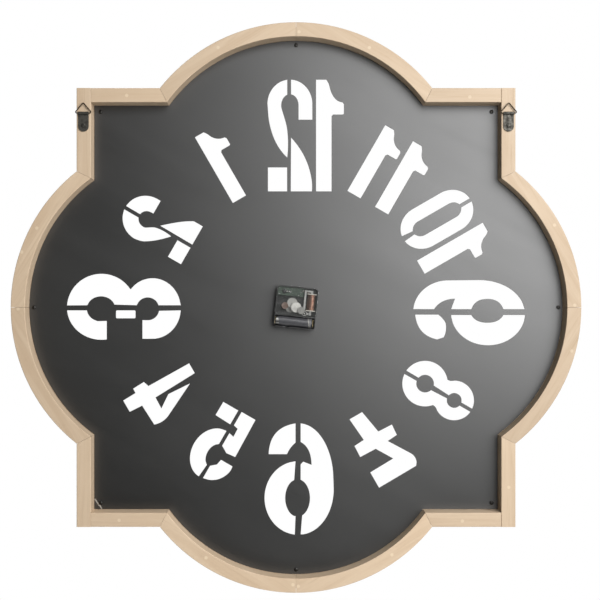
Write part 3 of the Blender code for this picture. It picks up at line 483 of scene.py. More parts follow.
class Surface:
    """A finish under construction: its shader and the nodes that colour and roughen it."""

    def __init__(self, name, colour, roughness, metallic=0.0):
        self.material = bpy.data.materials.new(name)
        self.material.use_nodes = True
        self.tree = self.material.node_tree
        self.shader = self.tree.nodes["Principled BSDF"]
        self.set("Base Color", (*colour, 1))
        self.set("Roughness", roughness)
        self.set("Metallic", metallic)
        self.material.diffuse_color = (*colour, 1)

    def set(self, socket, value):
        self.shader.inputs[socket].default_value = value

    def node(self, kind, **settings):
        made = self.tree.nodes.new(kind)
        for key, value in settings.items():
            setattr(made, key, value)
        return made

    def link(self, source, target):
        self.tree.links.new(source, target)

    def place(self, scale=(1, 1, 1), turn=0.0, move=(0, 0, 0)):
        """Places on the object, turned about the depth axis, moved, then stretched."""
        source = self.node("ShaderNodeTexCoord").outputs["Object"]
        turned_by = self.node("ShaderNodeMapping")
        turned_by.inputs["Rotation"].default_value = (0, turn, 0)
        turned_by.inputs["Location"].default_value = move
        stretched = self.node("ShaderNodeMapping")
        stretched.inputs["Scale"].default_value = scale
        self.link(source, turned_by.inputs["Vector"])
        self.link(turned_by.outputs["Vector"], stretched.inputs["Vector"])
        return stretched.outputs["Vector"]

    def noise(self, place, scale, detail, roughness=0.5, distortion=0.0):
        made = self.node("ShaderNodeTexNoise")
        numbers = {"Scale": scale, "Detail": detail, "Roughness": roughness,
                   "Distortion": distortion}
        for socket, number in numbers.items():
            made.inputs[socket].default_value = number
        self.link(place, made.inputs["Vector"])
        return made.outputs["Fac"]

    def span(self, value, start, end, low=0.0, high=1.0):
        """A value between two limits, spread smoothly between two others."""
        made = self.node("ShaderNodeMapRange", interpolation_type="SMOOTHSTEP")
        limits = {"From Min": start, "From Max": end, "To Min": low, "To Max": high}
        for socket, number in limits.items():
            made.inputs[socket].default_value = number
        self.link(value, made.inputs["Value"])
        return made.outputs["Result"]

    def math(self, operation, first, second):
        made = self.node("ShaderNodeMath", operation=operation)
        for socket, value in zip(made.inputs, (first, second)):
            if isinstance(value, (int, float)):
                socket.default_value = value
            else:
                self.link(value, socket)
        return made.outputs["Value"]

    def mix(self, factor, first, second, blend="MIX"):
        """Two colours, each a socket or three numbers, mixed by a factor."""
        made = self.node("ShaderNodeMix", data_type="RGBA", blend_type=blend)
        if isinstance(factor, float):
            made.inputs[0].default_value = factor
        else:
            self.link(factor, made.inputs[0])
        for socket, value in ((made.inputs[6], first), (made.inputs[7], second)):
            if isinstance(value, bpy.types.NodeSocket):
                self.link(value, socket)
            else:
                socket.default_value = (*value, 1)
        return made.outputs[2]

    def near(self, points, radius, ragged):
        """One close to any of some points on the object, and nought away from them. The edge
        wanders by as much as ragged says."""
        place = self.node("ShaderNodeTexCoord").outputs["Object"]
        wobble = self.noise(place, 900, 2)
        total = None
        for point in points:
            far = self.node("ShaderNodeVectorMath", operation="DISTANCE")
            far.inputs[1].default_value = point
            self.link(place, far.inputs[0])
            away = self.math("ADD", far.outputs["Value"], self.math("MULTIPLY", wobble, ragged))
            inner, outer = radius * 0.75 + ragged / 2, radius * 1.1 + ragged / 2
            here = self.span(away, inner, outer, 1.0, 0.0)
            total = here if total is None else self.math("MAXIMUM", total, here)
        return total

    def colour(self, source):
        self.link(source, self.shader.inputs["Base Color"])

    def roughness(self, source):
        self.link(source, self.shader.inputs["Roughness"])

    def bump(self, height, distance, strength):
        made = self.node("ShaderNodeBump")
        made.inputs["Distance"].default_value = distance
        made.inputs["Strength"].default_value = strength
        self.link(height, made.inputs["Height"])
        self.link(made.outputs["Normal"], self.shader.inputs["Normal"])


def wood(name, settings, grain, seed, filler=(), painted_shading=1.0):
    """Pale wood with its grain along one direction and filled nail holes. Each board's colour is
    multiplied by a painted light-and-shade factor, lighter or darker as the lamps fall on it."""
    surface = Surface(name, settings.light, 0.6)
    shift = (0.31 * seed, 0.17 * seed, 0.23 * seed)
    bands = surface.noise(surface.place((5, 70, 70), grain, shift), 1, 3, 0.55, 0.8)
    streaks = surface.noise(surface.place((16, 420, 420), grain, shift), 1, 4, 0.6, 0.3)
    fibres = surface.noise(surface.place((60, 2600, 2600), grain, shift), 1, 2, 0.6)
    blotches = surface.noise(surface.place((9, 9, 9), grain, shift), 1, 2)
    tone = surface.mix(surface.span(bands, 0.32, 0.70), settings.light, settings.dark)
    tone = surface.mix(surface.span(streaks, 0.50, 0.74, 0.0, 0.42), tone, settings.streak)
    tone = surface.mix(surface.span(blotches, 0.35, 0.75, 0.0, 0.35), tone, settings.light)
    pores = surface.span(fibres, 0.66, 0.76, 0.0, 0.35)
    tone = surface.mix(pores, tone, settings.pore)
    if filler:
        patches = surface.near(filler, settings.filler_radius, 1.4 * MM)
        tone = surface.mix(surface.math("MULTIPLY", patches, 0.5), tone, settings.filler)
    # Painted light and shade: the board's whole colour is scaled by its painted shading factor
    surface.colour(surface.mix(1.0, tone, (painted_shading, painted_shading, painted_shading * 0.99), "MULTIPLY"))
    surface.roughness(surface.span(streaks, 0.3, 0.8, 0.52, 0.72))
    surface.bump(surface.math("SUBTRACT", streaks, pores), 0.12 * MM, 0.5)
    return surface.material


def black_sheet(name, settings, smears):
    """Satin black paint on sheet steel, with dust, faint wipe marks and a smear of filler."""
    surface = Surface(name, settings.sheet, settings.sheet_roughness)
    surface.set("Specular IOR Level", 1.0)
    surface.set("Coat Weight", 0.35)
    surface.set("Coat Roughness", settings.sheet_roughness)
    place = surface.place()
    cloud = surface.noise(place, 5, 3)
    wipes = surface.noise(surface.place((3, 60, 22), 0.5), 1, 3, 0.6, 0.4)
    dust = surface.noise(place, 1500, 1)
    worn = surface.span(cloud, 0.3, 0.7, 0.0, 0.6)
    tone = surface.mix(worn, settings.sheet, settings.sheet_worn)
    tone = surface.mix(surface.span(dust, 0.74, 0.80, 0.0, 0.25), tone, DUST)
    smear = surface.near(smears, 1.1 * MM, 2.4 * MM)
    surface.colour(surface.mix(surface.math("MULTIPLY", smear, 0.55), tone, DRIED_FILLER))
    mixed = surface.math("ADD", surface.math("MULTIPLY", cloud, 0.5),
                         surface.math("MULTIPLY", wipes, 0.5))
    rough, spread = settings.sheet_roughness, 0.035
    surface.roughness(surface.span(mixed, 0.3, 0.7, rough - spread, rough + spread))
    surface.bump(surface.noise(place, 2600, 2), 0.02 * MM, 0.35)
    return surface.material


def metal(name, colour, roughness, brushed=(1, 1, 1), marks=0.5):
    """Metal with fine scratches, brushed one way, and duller patches."""
    surface = Surface(name, colour, roughness, 1.0)
    scale = tuple(900 * b for b in brushed)
    scratches = surface.noise(surface.place(scale), 1, 3, 0.65)
    patches = surface.noise(surface.place(), 260, 3, 0.6)
    darkened = tuple(0.55 * c for c in colour)
    tone = surface.mix(surface.span(patches, 0.42, 0.72, 0.0, marks), colour, darkened)
    surface.colour(surface.mix(surface.span(scratches, 0.55, 0.8, 0.0, 0.3), tone, darkened))
    surface.roughness(surface.span(patches, 0.3, 0.7, roughness * 0.8, min(roughness * 1.35, 1.0)))
    surface.bump(scratches, 0.01 * MM, 0.4)
    return surface.material


def plastic(name, colour, roughness, speckle=0.12, grain=2200):
    """Moulded plastic: a fine texture and slight flow marks."""
    surface = Surface(name, colour, roughness)
    fine = surface.noise(surface.place(), grain, 2)
    flow = surface.noise(surface.place((40, 160, 90)), 1, 2, 0.5, 0.6)
    pale = tuple(c + speckle * (1 - c) * 0.4 for c in colour)
    deep = tuple(c * (1 - speckle) for c in colour)
    surface.colour(surface.mix(surface.span(flow, 0.35, 0.7), deep, pale))
    surface.roughness(surface.span(flow, 0.3, 0.7, roughness * 0.85, min(roughness * 1.2, 1.0)))
    surface.bump(fine, 0.012 * MM, 0.35)
    return surface.material


def clear_plastic(name, settings):
    """Thin smoked plastic that the works show through, with faint scuffs."""
    surface = Surface(name, settings.cover, 0.16)
    surface.set("Alpha", settings.cover_alpha)
    surface.set("Specular IOR Level", 1.0)
    surface.set("Coat Weight", 1.0)
    surface.set("Coat Roughness", 0.08)
    scuffs = surface.noise(surface.place((300, 300, 2400), 0.7), 1, 3, 0.6)
    surface.roughness(surface.span(scuffs, 0.4, 0.8, 0.10, 0.30))
    haze = tuple(min(1.0, 2.2 * c) for c in settings.cover)
    surface.colour(surface.mix(surface.span(scuffs, 0.6, 0.85, 0.0, 0.6), settings.cover, haze))
    return surface.material


def wound_copper(name, colour):
    """Enamelled copper wire laid in fine turns across the coil."""
    surface = Surface(name, colour, 0.38, 1.0)
    turns = surface.noise(surface.place((60, 60, 5200), CASE_TILT), 1, 2, 0.4)
    glow = surface.noise(surface.place(), 160, 2)
    dark = tuple(0.45 * c for c in colour)
    tone = surface.mix(surface.span(turns, 0.45, 0.75, 0.0, 0.5), colour, dark)
    surface.colour(surface.mix(surface.span(glow, 0.3, 0.7, 0.0, 0.35), tone, BRIGHT_COPPER))
    surface.roughness(surface.span(turns, 0.3, 0.7, 0.32, 0.46))
    return surface.material


def cell_sleeve(name, settings, low, high):
    """Printed film round a dry cell: a plain body, a pale stripe and bare metal at both ends."""
    surface = Surface(name, settings.cell, 0.35)
    split = surface.node("ShaderNodeSeparateXYZ")
    surface.link(surface.place(turn=CASE_TILT), split.inputs["Vector"])
    along = split.outputs["X"]

    def between(start, end):
        up = surface.span(along, start - 0.05 * MM, start + 0.05 * MM)
        down = surface.span(along, end - 0.05 * MM, end + 0.05 * MM, 1.0, 0.0)
        return surface.math("MULTIPLY", up, down)

    film = between(low + 1.9 * MM, high - 0.9 * MM)
    stripe = between(low + 9 * MM, low + 9.9 * MM)
    body = surface.mix(between(low + 9.9 * MM, high - MM), settings.cell_top, settings.cell)
    wear = surface.noise(surface.place((90, 400, 400), CASE_TILT), 1, 3)
    body = surface.mix(surface.span(wear, 0.6, 0.8, 0.0, 0.25), body, CELL_WEAR)
    body = surface.mix(stripe, body, CELL_STRIPE)
    surface.colour(surface.mix(film, CELL_STEEL, body))
    surface.link(surface.math("SUBTRACT", 1.0, film), surface.shader.inputs["Metallic"])
    surface.roughness(surface.span(wear, 0.3, 0.7, 0.24, 0.38))
    return surface.material


def board_finish(name):
    """Green lacquer over copper tracks, the tracks as slightly paler raised cells."""
    surface = Surface(name, (0.05, 0.07, 0.055), 0.38)
    tracks = surface.node("ShaderNodeTexVoronoi", feature="DISTANCE_TO_EDGE", distance="MANHATTAN")
    tracks.inputs["Scale"].default_value = 330
    surface.link(surface.place(turn=CASE_TILT), tracks.inputs["Vector"])
    gap = surface.span(tracks.outputs["Distance"], 0.06, 0.12)
    surface.colour(surface.mix(gap, BARE_BOARD, LACQUERED_TRACK))
    surface.bump(gap, 0.03 * MM, 0.6)
    surface.roughness(surface.span(surface.noise(surface.place(), 700, 2), 0.3, 0.7, 0.30, 0.46))
    return surface.material


def enamel(name, colour):
    """Cream stove enamel with a faint orange-peel skin and slightly aged patches."""
    surface = Surface(name, colour, 0.34)
    surface.set("Coat Weight", 0.3)
    patches = surface.noise(surface.place(), 90, 3)
    aged = (colour[0] * 0.92, colour[1] * 0.88, colour[2] * 0.78)
    surface.colour(surface.mix(surface.span(patches, 0.4, 0.7, 0.0, 0.6), colour, aged))
    surface.roughness(surface.span(patches, 0.3, 0.7, 0.28, 0.42))
    surface.bump(surface.noise(surface.place(), 1700, 2), 0.015 * MM, 0.35)
    return surface.material


def rubber(name):
    surface = Surface(name, (0.02, 0.02, 0.02), 0.85)
    grain = surface.noise(surface.place(), 1500, 3)
    surface.colour(surface.mix(surface.span(grain, 0.4, 0.7), FRESH_RUBBER, DUSTY_RUBBER))
    surface.roughness(surface.span(grain, 0.3, 0.7, 0.75, 0.95))
    surface.bump(grain, 0.03 * MM, 0.5)
    return surface.material


def floor_finish(name, colour, reach):
    """Pale studio floor that fades away towards its edge."""
    surface = Surface(name, colour, 0.55)
    place = surface.node("ShaderNodeTexCoord").outputs["Object"]
    flat = surface.node("ShaderNodeVectorMath", operation="MULTIPLY")
    flat.inputs[1].default_value = (1, 1, 0)
    surface.link(place, flat.inputs[0])
    far = surface.node("ShaderNodeVectorMath", operation="LENGTH")
    surface.link(flat.outputs["Vector"], far.inputs[0])
    surface.link(surface.span(far.outputs["Value"], reach * 0.45, reach * 0.98, 1.0, 0.0),
                 surface.shader.inputs["Alpha"])
    grain = surface.noise(place, 300, 2)
    surface.roughness(surface.span(grain, 0.3, 0.7, 0.5, 0.6))
    return surface.material


# ---------------------------------------------------------------- settings

def colour(name, description, default):
    return FloatVectorProperty(name=name, description=description, default=default,
                               subtype="COLOR", size=3, min=0, max=1)


def length(name, description, default, low, high):
    return FloatProperty(name=name, description=description, default=default,
                         unit="LENGTH", min=low, max=high)


def share(name, description, default, low):
    return FloatProperty(name=name, description=description, default=default,
                         subtype="FACTOR", min=low, max=1.0)


def power(name, description, default):
    return FloatProperty(name=name, description=description, default=default,
                         unit="POWER", min=0.0, max=500.0)


class ClockWood(bpy.types.PropertyGroup):
    light: colour("Light wood", "Colour between the grain's bands", (0.575, 0.445, 0.315))
    dark: colour("Dark wood", "Colour of the grain's bands", (0.515, 0.385, 0.262))
    streak: colour("Streak", "Colour of narrow streaks along the grain", (0.430, 0.310, 0.200))
    pore: colour("Pores", "Colour of the open pores", (0.330, 0.225, 0.140))
    filler: colour("Filler", "Colour of the filled nail holes", (0.720, 0.600, 0.440))
    filler_radius: length("Filler size", "Radius of a filled nail hole", 2.4 * MM, 0.5 * MM, 6 * MM)
    edge: length("Edge rounding", "Radius of the rim's sanded edges", 0.9 * MM, 0.2 * MM, 3 * MM)


class ClockMetal(bpy.types.PropertyGroup):
    sheet: colour("Dial paint", "Colour of the black dial", (0.0070, 0.0072, 0.0066))
    sheet_worn: colour("Thin paint", "Colour where the paint is thin", (0.0095, 0.0095, 0.0085))
    sheet_roughness: share("Dial roughness", "Roughness of the dial's paint", 0.42, 0.1)
    sheet_edge: length("Dial edge", "Rounding of the dial's cut edges", 0.12 * MM, 0.0, 0.5 * MM)
    hanger: colour("Hanger steel", "Colour of the hangers' metal", (0.105, 0.100, 0.088))
    brass: colour("Brass", "Colour of the bush, nut and washers", (0.72, 0.52, 0.22))
    hands: colour("Hands", "Colour of the hands' enamel", (0.80, 0.75, 0.64))


class ClockMovement(bpy.types.PropertyGroup):
    case: colour("Case", "Colour of the movement's case", (0.012, 0.012, 0.012))
    cover: colour("Cover", "Tint of the clear cover", (0.10, 0.105, 0.10))
    cover_alpha: share("Cover density", "How much of the works the cover hides", 0.13, 0.05)
    knob: colour("Knob", "Colour of the setting knob", (0.13, 0.085, 0.065))
    wheel: colour("Wheels", "Colour of the moulded wheels", (0.80, 0.79, 0.74))
    copper: colour("Copper", "Colour of the coil's wire", (0.46, 0.27, 0.20))
    cell: colour("Cell", "Colour of the dry cell's sleeve", (0.055, 0.055, 0.060))
    cell_top: colour("Cell's end", "Colour of the sleeve's plus end", (0.11, 0.11, 0.115))


class ClockStage(bpy.types.PropertyGroup):
    distance: length("Camera distance", "From the wall plane to the camera", 1.28, 0.5, 5.0)
    across: length("Camera across", "Camera's place along X", -5.3 * MM, -1.0, 1.0)
    up: length("Camera up", "Camera's height over the shaft", 10 * MM, -1.0, 1.0)
    view_width: length("View width", "Width seen at the wall plane", 0.8007, 0.1, 5.0)
    key_power: power("Key light", "Power of the main soft light", 45.0)
    low_power: power("Low light", "Power of the light from below on the other side", 9.0)
    front_power: power("Front light", "Power of the light on the clock's front", 62.0)
    fill: FloatProperty(name="Fill", description="Strength of the even light from all round",
                        default=0.05, min=0.0, max=3.0)
    floor: colour("Floor", "Colour of the floor", (0.86, 0.86, 0.85))


# ---------------------------------------------------------------- wooden frame

RIM_GRAIN = {"rail": 0.0, "stile": 90.0}       # the arcs' grain follows their chord
# Painted light and shade: each board's colour is scaled lighter on the bottom and right boards
# and darker on the top and left ones, to stand in for how the lamps light the rim
BOARD_PAINTED_SHADING = {
    "rim_top_arc_a": 0.97, "rim_top_arc_b": 0.94,
    "rim_upper_left_rail": 0.88, "rim_upper_left_stile": 0.88,
    "rim_left_arc_a": 0.90, "rim_left_arc_b": 0.89,
    "rim_lower_left_stile": 1.04, "rim_lower_left_rail": 1.04,
    "rim_bottom_arc_a": 1.17, "rim_bottom_arc_b": 1.20,
    "rim_lower_right_rail": 1.16, "rim_lower_right_stile": 1.13,
    "rim_right_arc_a": 1.10, "rim_right_arc_b": 1.12,
    "rim_upper_right_stile": 1.05, "rim_upper_right_rail": 1.06,
}
# Filled nail holes, in millimetres across and up from the shaft
FILLER_PLACES = {
    "rim_top_arc_a": ((-3.0, 372.0), (104.0, 347.0)),
    "rim_top_arc_b": ((-4.0, 368.0), (-98.0, 347.0)),
    "rim_bottom_arc_a": ((-3.0, -372.0), (-128.0, -330.0)),
    "rim_bottom_arc_b": ((4.0, -370.0), (120.0, -334.0)),
    "rim_left_arc_a": ((-372.0, 3.0), (-345.0, 110.0)),
    "rim_left_arc_b": ((-368.0, -58.0),),
    "rim_right_arc_a": ((371.0, -2.0),),
    "rim_right_arc_b": ((366.0, 74.0), (346.0, 106.0)),
    "rim_upper_right_rail": ((226.0, 283.0),),
    "rim_upper_left_rail": ((-232.0, 281.0),),
    "rim_lower_left_stile": ((-284.0, -240.0),),
    "rim_lower_right_rail": ((236.0, -284.0),),
    "rim_lower_left_rail": ((-222.0, -285.0),),
}


def sand(piece, edge):
    """Round a rim piece's long edges and leave its glued ends square. A glued end is as long
    as the rim is wide."""
    def long_edge(line):
        flat = at_depth(line, line.verts[0].co.y)
        glued = 15 * MM < line.calc_length() < 40 * MM
        return flat and not glued and line.calc_face_angle(0.0) > radians(75)

    edit(piece)
    bpy.ops.mesh.dissolve_limited(angle_limit=ONE_FACE)
    pick_edges(piece, long_edge)
    bpy.ops.mesh.bevel(offset=edge, segments=3, profile=0.5)
    leave()
    return seal(piece)


class CLOCK_OT_rim(bpy.types.Operator):
    """Make the eight curved and eight straight pieces of the rim, butted together"""
    bl_idname = "clock.rim"
    bl_label = "Rim"

    def execute(self, context):
        settings = context.scene.clock_wood
        rims = sorted(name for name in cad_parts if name.startswith("rim_"))
        for seed, node in enumerate(rims):
            points = outline(node)[0]
            piece = plate("sanded_" + node, [rounded(points)], *depths(node))
            sand(piece, settings.edge)
            smooth(piece)
            ends = [a - b for a in points for b in points]
            chord = max(ends, key=lambda way: way.length)
            grain = RIM_GRAIN.get(node.rsplit("_", 1)[1], atan2(chord.y, chord.x) * 180 / pi)
            back = depths(node)[0]
            filler = [(x * MM, back, z * MM) for x, z in FILLER_PLACES.get(node, ())]
            # Painted light and shade: this board's colour factor stands in for how the lamps light
            # its part of the rim
            painted_shading = BOARD_PAINTED_SHADING.get(node, 1.0)
            surface = wood(node + "_wood", settings, radians(grain), seed, filler, painted_shading)
            finish_piece(piece, "frame", "rim_wood", surface, node)
        return {"FINISHED"}


class CLOCK_OT_ring(bpy.types.Operator):
    """Make the moulded front ring, with rounded borders"""
    bl_idname = "clock.ring"
    bl_label = "Front ring"

    def execute(self, context):
        back, front = depths("front_ring")
        hole = outline("front_ring")[1]
        width = CAD_HIGH.x - max(place.y for place in hole)
        ring = plate("moulded_front_ring", [quatrefoil(0.0), quatrefoil(width)], back, back)
        edit(ring)
        bpy.ops.mesh.bridge_edge_loops()
        bpy.ops.mesh.extrude_region_move(TRANSFORM_OT_translate={"value": (0, front - back, 0)})
        bpy.ops.mesh.select_all(action="SELECT")
        bpy.ops.mesh.normals_make_consistent(inside=False)
        for depth, rounding, segments in ((front, 4 * MM, 6), (back, 0.6 * MM, 1)):
            pick_edges(ring, lambda edge: at_depth(edge, depth)
                       and edge.calc_face_angle(0.0) > radians(60))
            bpy.ops.mesh.bevel(offset=rounding, segments=segments, profile=0.5)
        ring = leave()
        smooth(seal(ring), 32)
        surface = wood("ring_wood", context.scene.clock_wood, radians(90), 40)
        finish_piece(ring, "frame", "ring_wood", surface, "front_ring")
        return {"FINISHED"}


# ---------------------------------------------------------------- dial and its screws

def cross_screw(name, radius, shank, low, under, high):
    """A pan-head screw along Y with a cross recess and a threaded shank with a point. Its head
    has a radius and goes from under to high."""
    rise = high - under
    profile = [(0, low), (shank * 0.3, low + 0.6 * MM)]
    pitch = 0.9 * MM
    root, neck = shank * 0.72, shank * 0.75
    along = low + 1.6 * MM
    while along + pitch < under - 1.5 * MM:
        profile += [(root, along), (shank, along + pitch * 0.45), (root, along + pitch * 0.75)]
        along += pitch
    profile += [(neck, under - 1.2 * MM), (neck, under), (radius * 0.94, under),
                (radius, under + rise * 0.12), (radius, under + rise * 0.3)]
    profile += [(radius * cos(radians(a)), under + rise * (0.3 + 0.7 * sin(radians(a))))
                for a in range(15, 90, 15)] + [(0, high)]
    screw = turned(name, profile, steps=32)
    depth = under + rise * 0.45
    arm, thick = radius * 0.58, radius * 0.12
    cross = block("cross", (-arm, depth, -thick), (arm, high + MM, thick))
    other = block("cross_arm", (-thick, depth, -arm), (thick, high + MM, arm))
    combine(screw, cross, other)
    return eased(screw, 0.05 * MM, 1, 50, 40)


class CLOCK_OT_dial(bpy.types.Operator):
    """Make the stencilled sheet-metal dial, its cut edges slightly rounded"""
    bl_idname = "clock.dial"
    bl_label = "Dial"

    def execute(self, context):
        settings = context.scene.clock_metal
        back, front = depths("dial_plate")
        loops = [rounded(loop) for loop in outline("dial_plate")]
        dial = plate("stencilled_dial", loops, back, front, settings.sheet_edge, 1)
        smooth(dial, 20)
        x, z = axis_of("dial_screw_lower_right")
        start, end = Vector((7.5, 0, 4.5)) * MM, Vector((-1.0, 0, -7.2)) * MM
        smears = [Vector((x, back, z)) + start.lerp(end, n / 9) for n in range(10)]
        surface = black_sheet("satin_black_sheet", settings, smears)
        finish_piece(dial, "frame", "black_sheet", surface, "dial_plate")
        return {"FINISHED"}


class CLOCK_OT_dial_screws(bpy.types.Operator):
    """Make the eight dark pan-head screws that hold the dial to the front ring"""
    bl_idname = "clock.dial_screws"
    bl_label = "Dial screws"

    def execute(self, context):
        nodes = sorted(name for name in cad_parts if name.startswith("dial_screw_"))
        low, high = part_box(nodes[0])
        under = depths("dial_plate")[0] + 0.1 * MM
        pattern = cross_screw("dial_screw_pattern", (high.x - low.x) / 2, SCREW_SHANK,
                              low.y, under, high.y)
        surface = metal("blacked_screw", (0.055, 0.053, 0.050), 0.42, marks=0.6)
        for number, node in enumerate(nodes):
            x, z = axis_of(node)
            move = Matrix.Translation((x, 0, z)) @ Matrix.Rotation(radians(37 * number), 4, "Y")
            screw = twin(pattern, "cross_" + node, move)
            finish_piece(screw, "frame", "dark_screw", surface, node)
        bpy.data.objects.remove(pattern, do_unlink=True)
        return {"FINISHED"}


# ---------------------------------------------------------------- hangers

def hanger_strap(name, centre, low, high):
    """A strap hanger: flat tongue with a round end, rolled over at the top into an eye."""
    thick = MM
    lip = -62                              # where the rolled eye ends, in degrees
    half = (high.x - low.x) / 2
    outer = (high.y - low.y) / 2
    eye = (low.y + outer, high.z - outer)
    flat_back = low.y + thick
    section = [Vector((low.y, low.z - MM))] + arc(eye, outer, 180, lip, 40)
    section += arc(eye, outer - thick, lip, 180, 40)
    section += [Vector((flat_back, eye[1] - 1.3 * MM)), Vector((flat_back, low.z - MM))]
    strap = plate(name, [section], half, -half)
    strap.data.transform(Matrix.Rotation(pi / 2, 4, "Z"))
    strap.data.transform(Matrix.Translation((centre, 0, 0)))
    width = half - 0.01 * MM
    end = arc((centre, low.z + half), width, 180, 360, 32)
    end += [Vector((centre + width, high.z + MM)), Vector((centre - width, high.z + MM))]
    combine(seal(strap), plate("end", [end], 9 * MM, -MM), operation="INTERSECT")
    return strap


class CLOCK_OT_hangers(bpy.types.Operator):
    """Make both strap hangers with their screws and hinged wire triangles"""
    bl_idname = "clock.hangers"
    bl_label = "Hangers"

    def execute(self, context):
        steel = context.scene.clock_metal.hanger
        strap_finish = metal("dull_zinc_strap", steel, 0.64, (0.3, 1, 1), marks=0.3)
        wire_finish = metal("zinc_wire", (0.085, 0.065, 0.045), 0.5, marks=0.6)
        for side in ("left", "right"):
            strap_node, screw_node, ring_node = (
                f"hanger_{kind}_{side}" for kind in ("strap", "screw", "ring"))
            low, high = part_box(strap_node)
            centre = (low.x + high.x) / 2
            strap = hanger_strap("rolled_" + strap_node, centre, low, high)
            screw_low, screw_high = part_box(screw_node)
            at = Matrix.Translation((centre, 0, (screw_low.z + screw_high.z) / 2))
            under = low.y + 1.1 * MM
            hole, mouth = 1.9 * MM, 2.3 * MM
            seating = turned("dimple", [(0, -MM), (hole, -MM), (hole, under - 0.5 * MM),
                                        (mouth, under), (mouth, 3 * MM), (0, 3 * MM)])
            seating.data.transform(at)
            combine(strap, seating)
            eased(strap, 0.16 * MM, 2, 40)
            finish_piece(strap, "frame", "zinc_steel", strap_finish, strap_node)
            screw = cross_screw("cross_" + screw_node, (screw_high.x - screw_low.x) / 2,
                                SCREW_SHANK, screw_low.y, under, screw_high.y)
            screw.data.transform(Matrix.Rotation(radians(20 if side == "left" else 65), 4, "Y"))
            screw.data.transform(at)
            finish_piece(screw, "frame", "zinc_steel", strap_finish, screw_node)
            finish_piece(self.triangle(ring_node), ring_node, "zinc_wire", wire_finish, ring_node)
        return {"FINISHED"}

    def triangle(self, node):
        """A wire triangle whose bottom side lies in the strap's eye."""
        low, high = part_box(node)
        wire = (high.y - low.y) / 2
        half = (high.x - low.x) / 2 - wire
        height = high.z - low.z - 2 * wire
        foot, tip = 1.6 * MM, 1.4 * MM
        tilt = atan2(height, half) * 180 / pi
        path = arc((half - foot, foot), foot, -90, 90 - tilt, 16)
        path += arc((0, height - tip), tip, 90 - tilt, 90 + tilt, 16)
        path += arc((foot - half, foot), foot, 90 + tilt, 270, 16)
        centre, depth, base = (low.x + high.x) / 2, (low.y + high.y) / 2, low.z + wire
        points = [(centre + p.x, depth, base + p.y) for p in path]
        return smooth(tube("bent_" + node, points, wire, True, 16), 60)


# ---------------------------------------------------------------- movement

class CLOCK_OT_case(bpy.types.Operator):
    """Make the moulded case, with its two pockets, cradle ribs, bosses and board posts"""
    bl_idname = "clock.case"
    bl_label = "Movement case"

    def execute(self, context):
        low, high = seated_box("movement_case")
        floor = low.y + CASE_WALL
        shelf = seated_box("rear_cover")[0].z + CASE_WALL
        inside = high.x - CASE_WALL
        case = plate("moulded_case", [rounded_box((low.x, low.z), (high.x, high.z), CASE_CORNER)],
                     high.y, low.y, 0.5 * MM, 3)
        pockets = (("works", (-inside, shelf), (inside, inside), 2.5 * MM),
                   ("bay", (-inside, -inside), (inside, shelf - CASE_WALL), 1.2 * MM))
        for name, corner, other, radius in pockets:
            outlines = [rounded_box(corner, other, radius)]
            combine(case, plate(name, outlines, high.y + MM, floor))
        combine(case, rod("bore", 4.15 * MM, low.y - MM, floor + MM))
        for rib in self.ribs(floor):
            combine(case, rib, operation="UNION")
        combine(case, rod("finger_notch", 6 * MM, low.z - MM, low.z + 2.2 * MM, "Z",
                          (12 * MM, high.y + 2.5 * MM, 0), 48))
        seat(eased(case, 0.15 * MM, 2, 50))
        surface = plastic("black_moulding", context.scene.clock_movement.case, 0.40)
        finish_piece(case, "frame", "black_plastic", surface, "movement_case")
        return {"FINISHED"}

    def ribs(self, floor):
        """Cradle ribs under the cell, posts under the board and bosses round the arbors. Each
        starts a little inside the floor, so that it joins it."""
        made = []
        root = floor - 0.3 * MM
        cell_low, cell_high = seated_box("aa_cell")
        room = (cell_high.z - cell_low.z) / 2 + 0.3 * MM
        axis = (0, (cell_low.y + cell_high.y) / 2, (cell_low.z + cell_high.z) / 2)
        for x in (-16 * MM, 0.0, 16 * MM):
            rib = block("rib", (x - 0.5 * MM, root, cell_low.z - 0.3 * MM),
                        (x + 0.5 * MM, floor + 3.2 * MM, cell_high.z - 0.2 * MM))
            made.append(combine(rib, rod("room", room, x - 2 * MM, x + 2 * MM, "X", axis)))
        board_low, board_high = seated_box("circuit_board")
        for x in (board_low.x + 2 * MM, board_high.x - 2 * MM):
            for z in (board_low.z + 2 * MM, board_high.z - 2 * MM):
                made.append(rod("post", 1.3 * MM, root, board_low.y - 0.1 * MM, "Y",
                                (x, 0, z), 24, 1.1 * MM))
        for node in ("third_wheel", "intermediate_wheel", "rotor_pinion"):
            x, z = seated_axis(node)
            profile = [(0.55 * MM, floor - 0.2 * MM), (1.5 * MM, floor - 0.2 * MM),
                       (1.3 * MM, floor + 0.9 * MM), (0.55 * MM, floor + 0.9 * MM)]
            made.append(turned("boss", profile, "Y", (x, 0, z), 24))
        return made


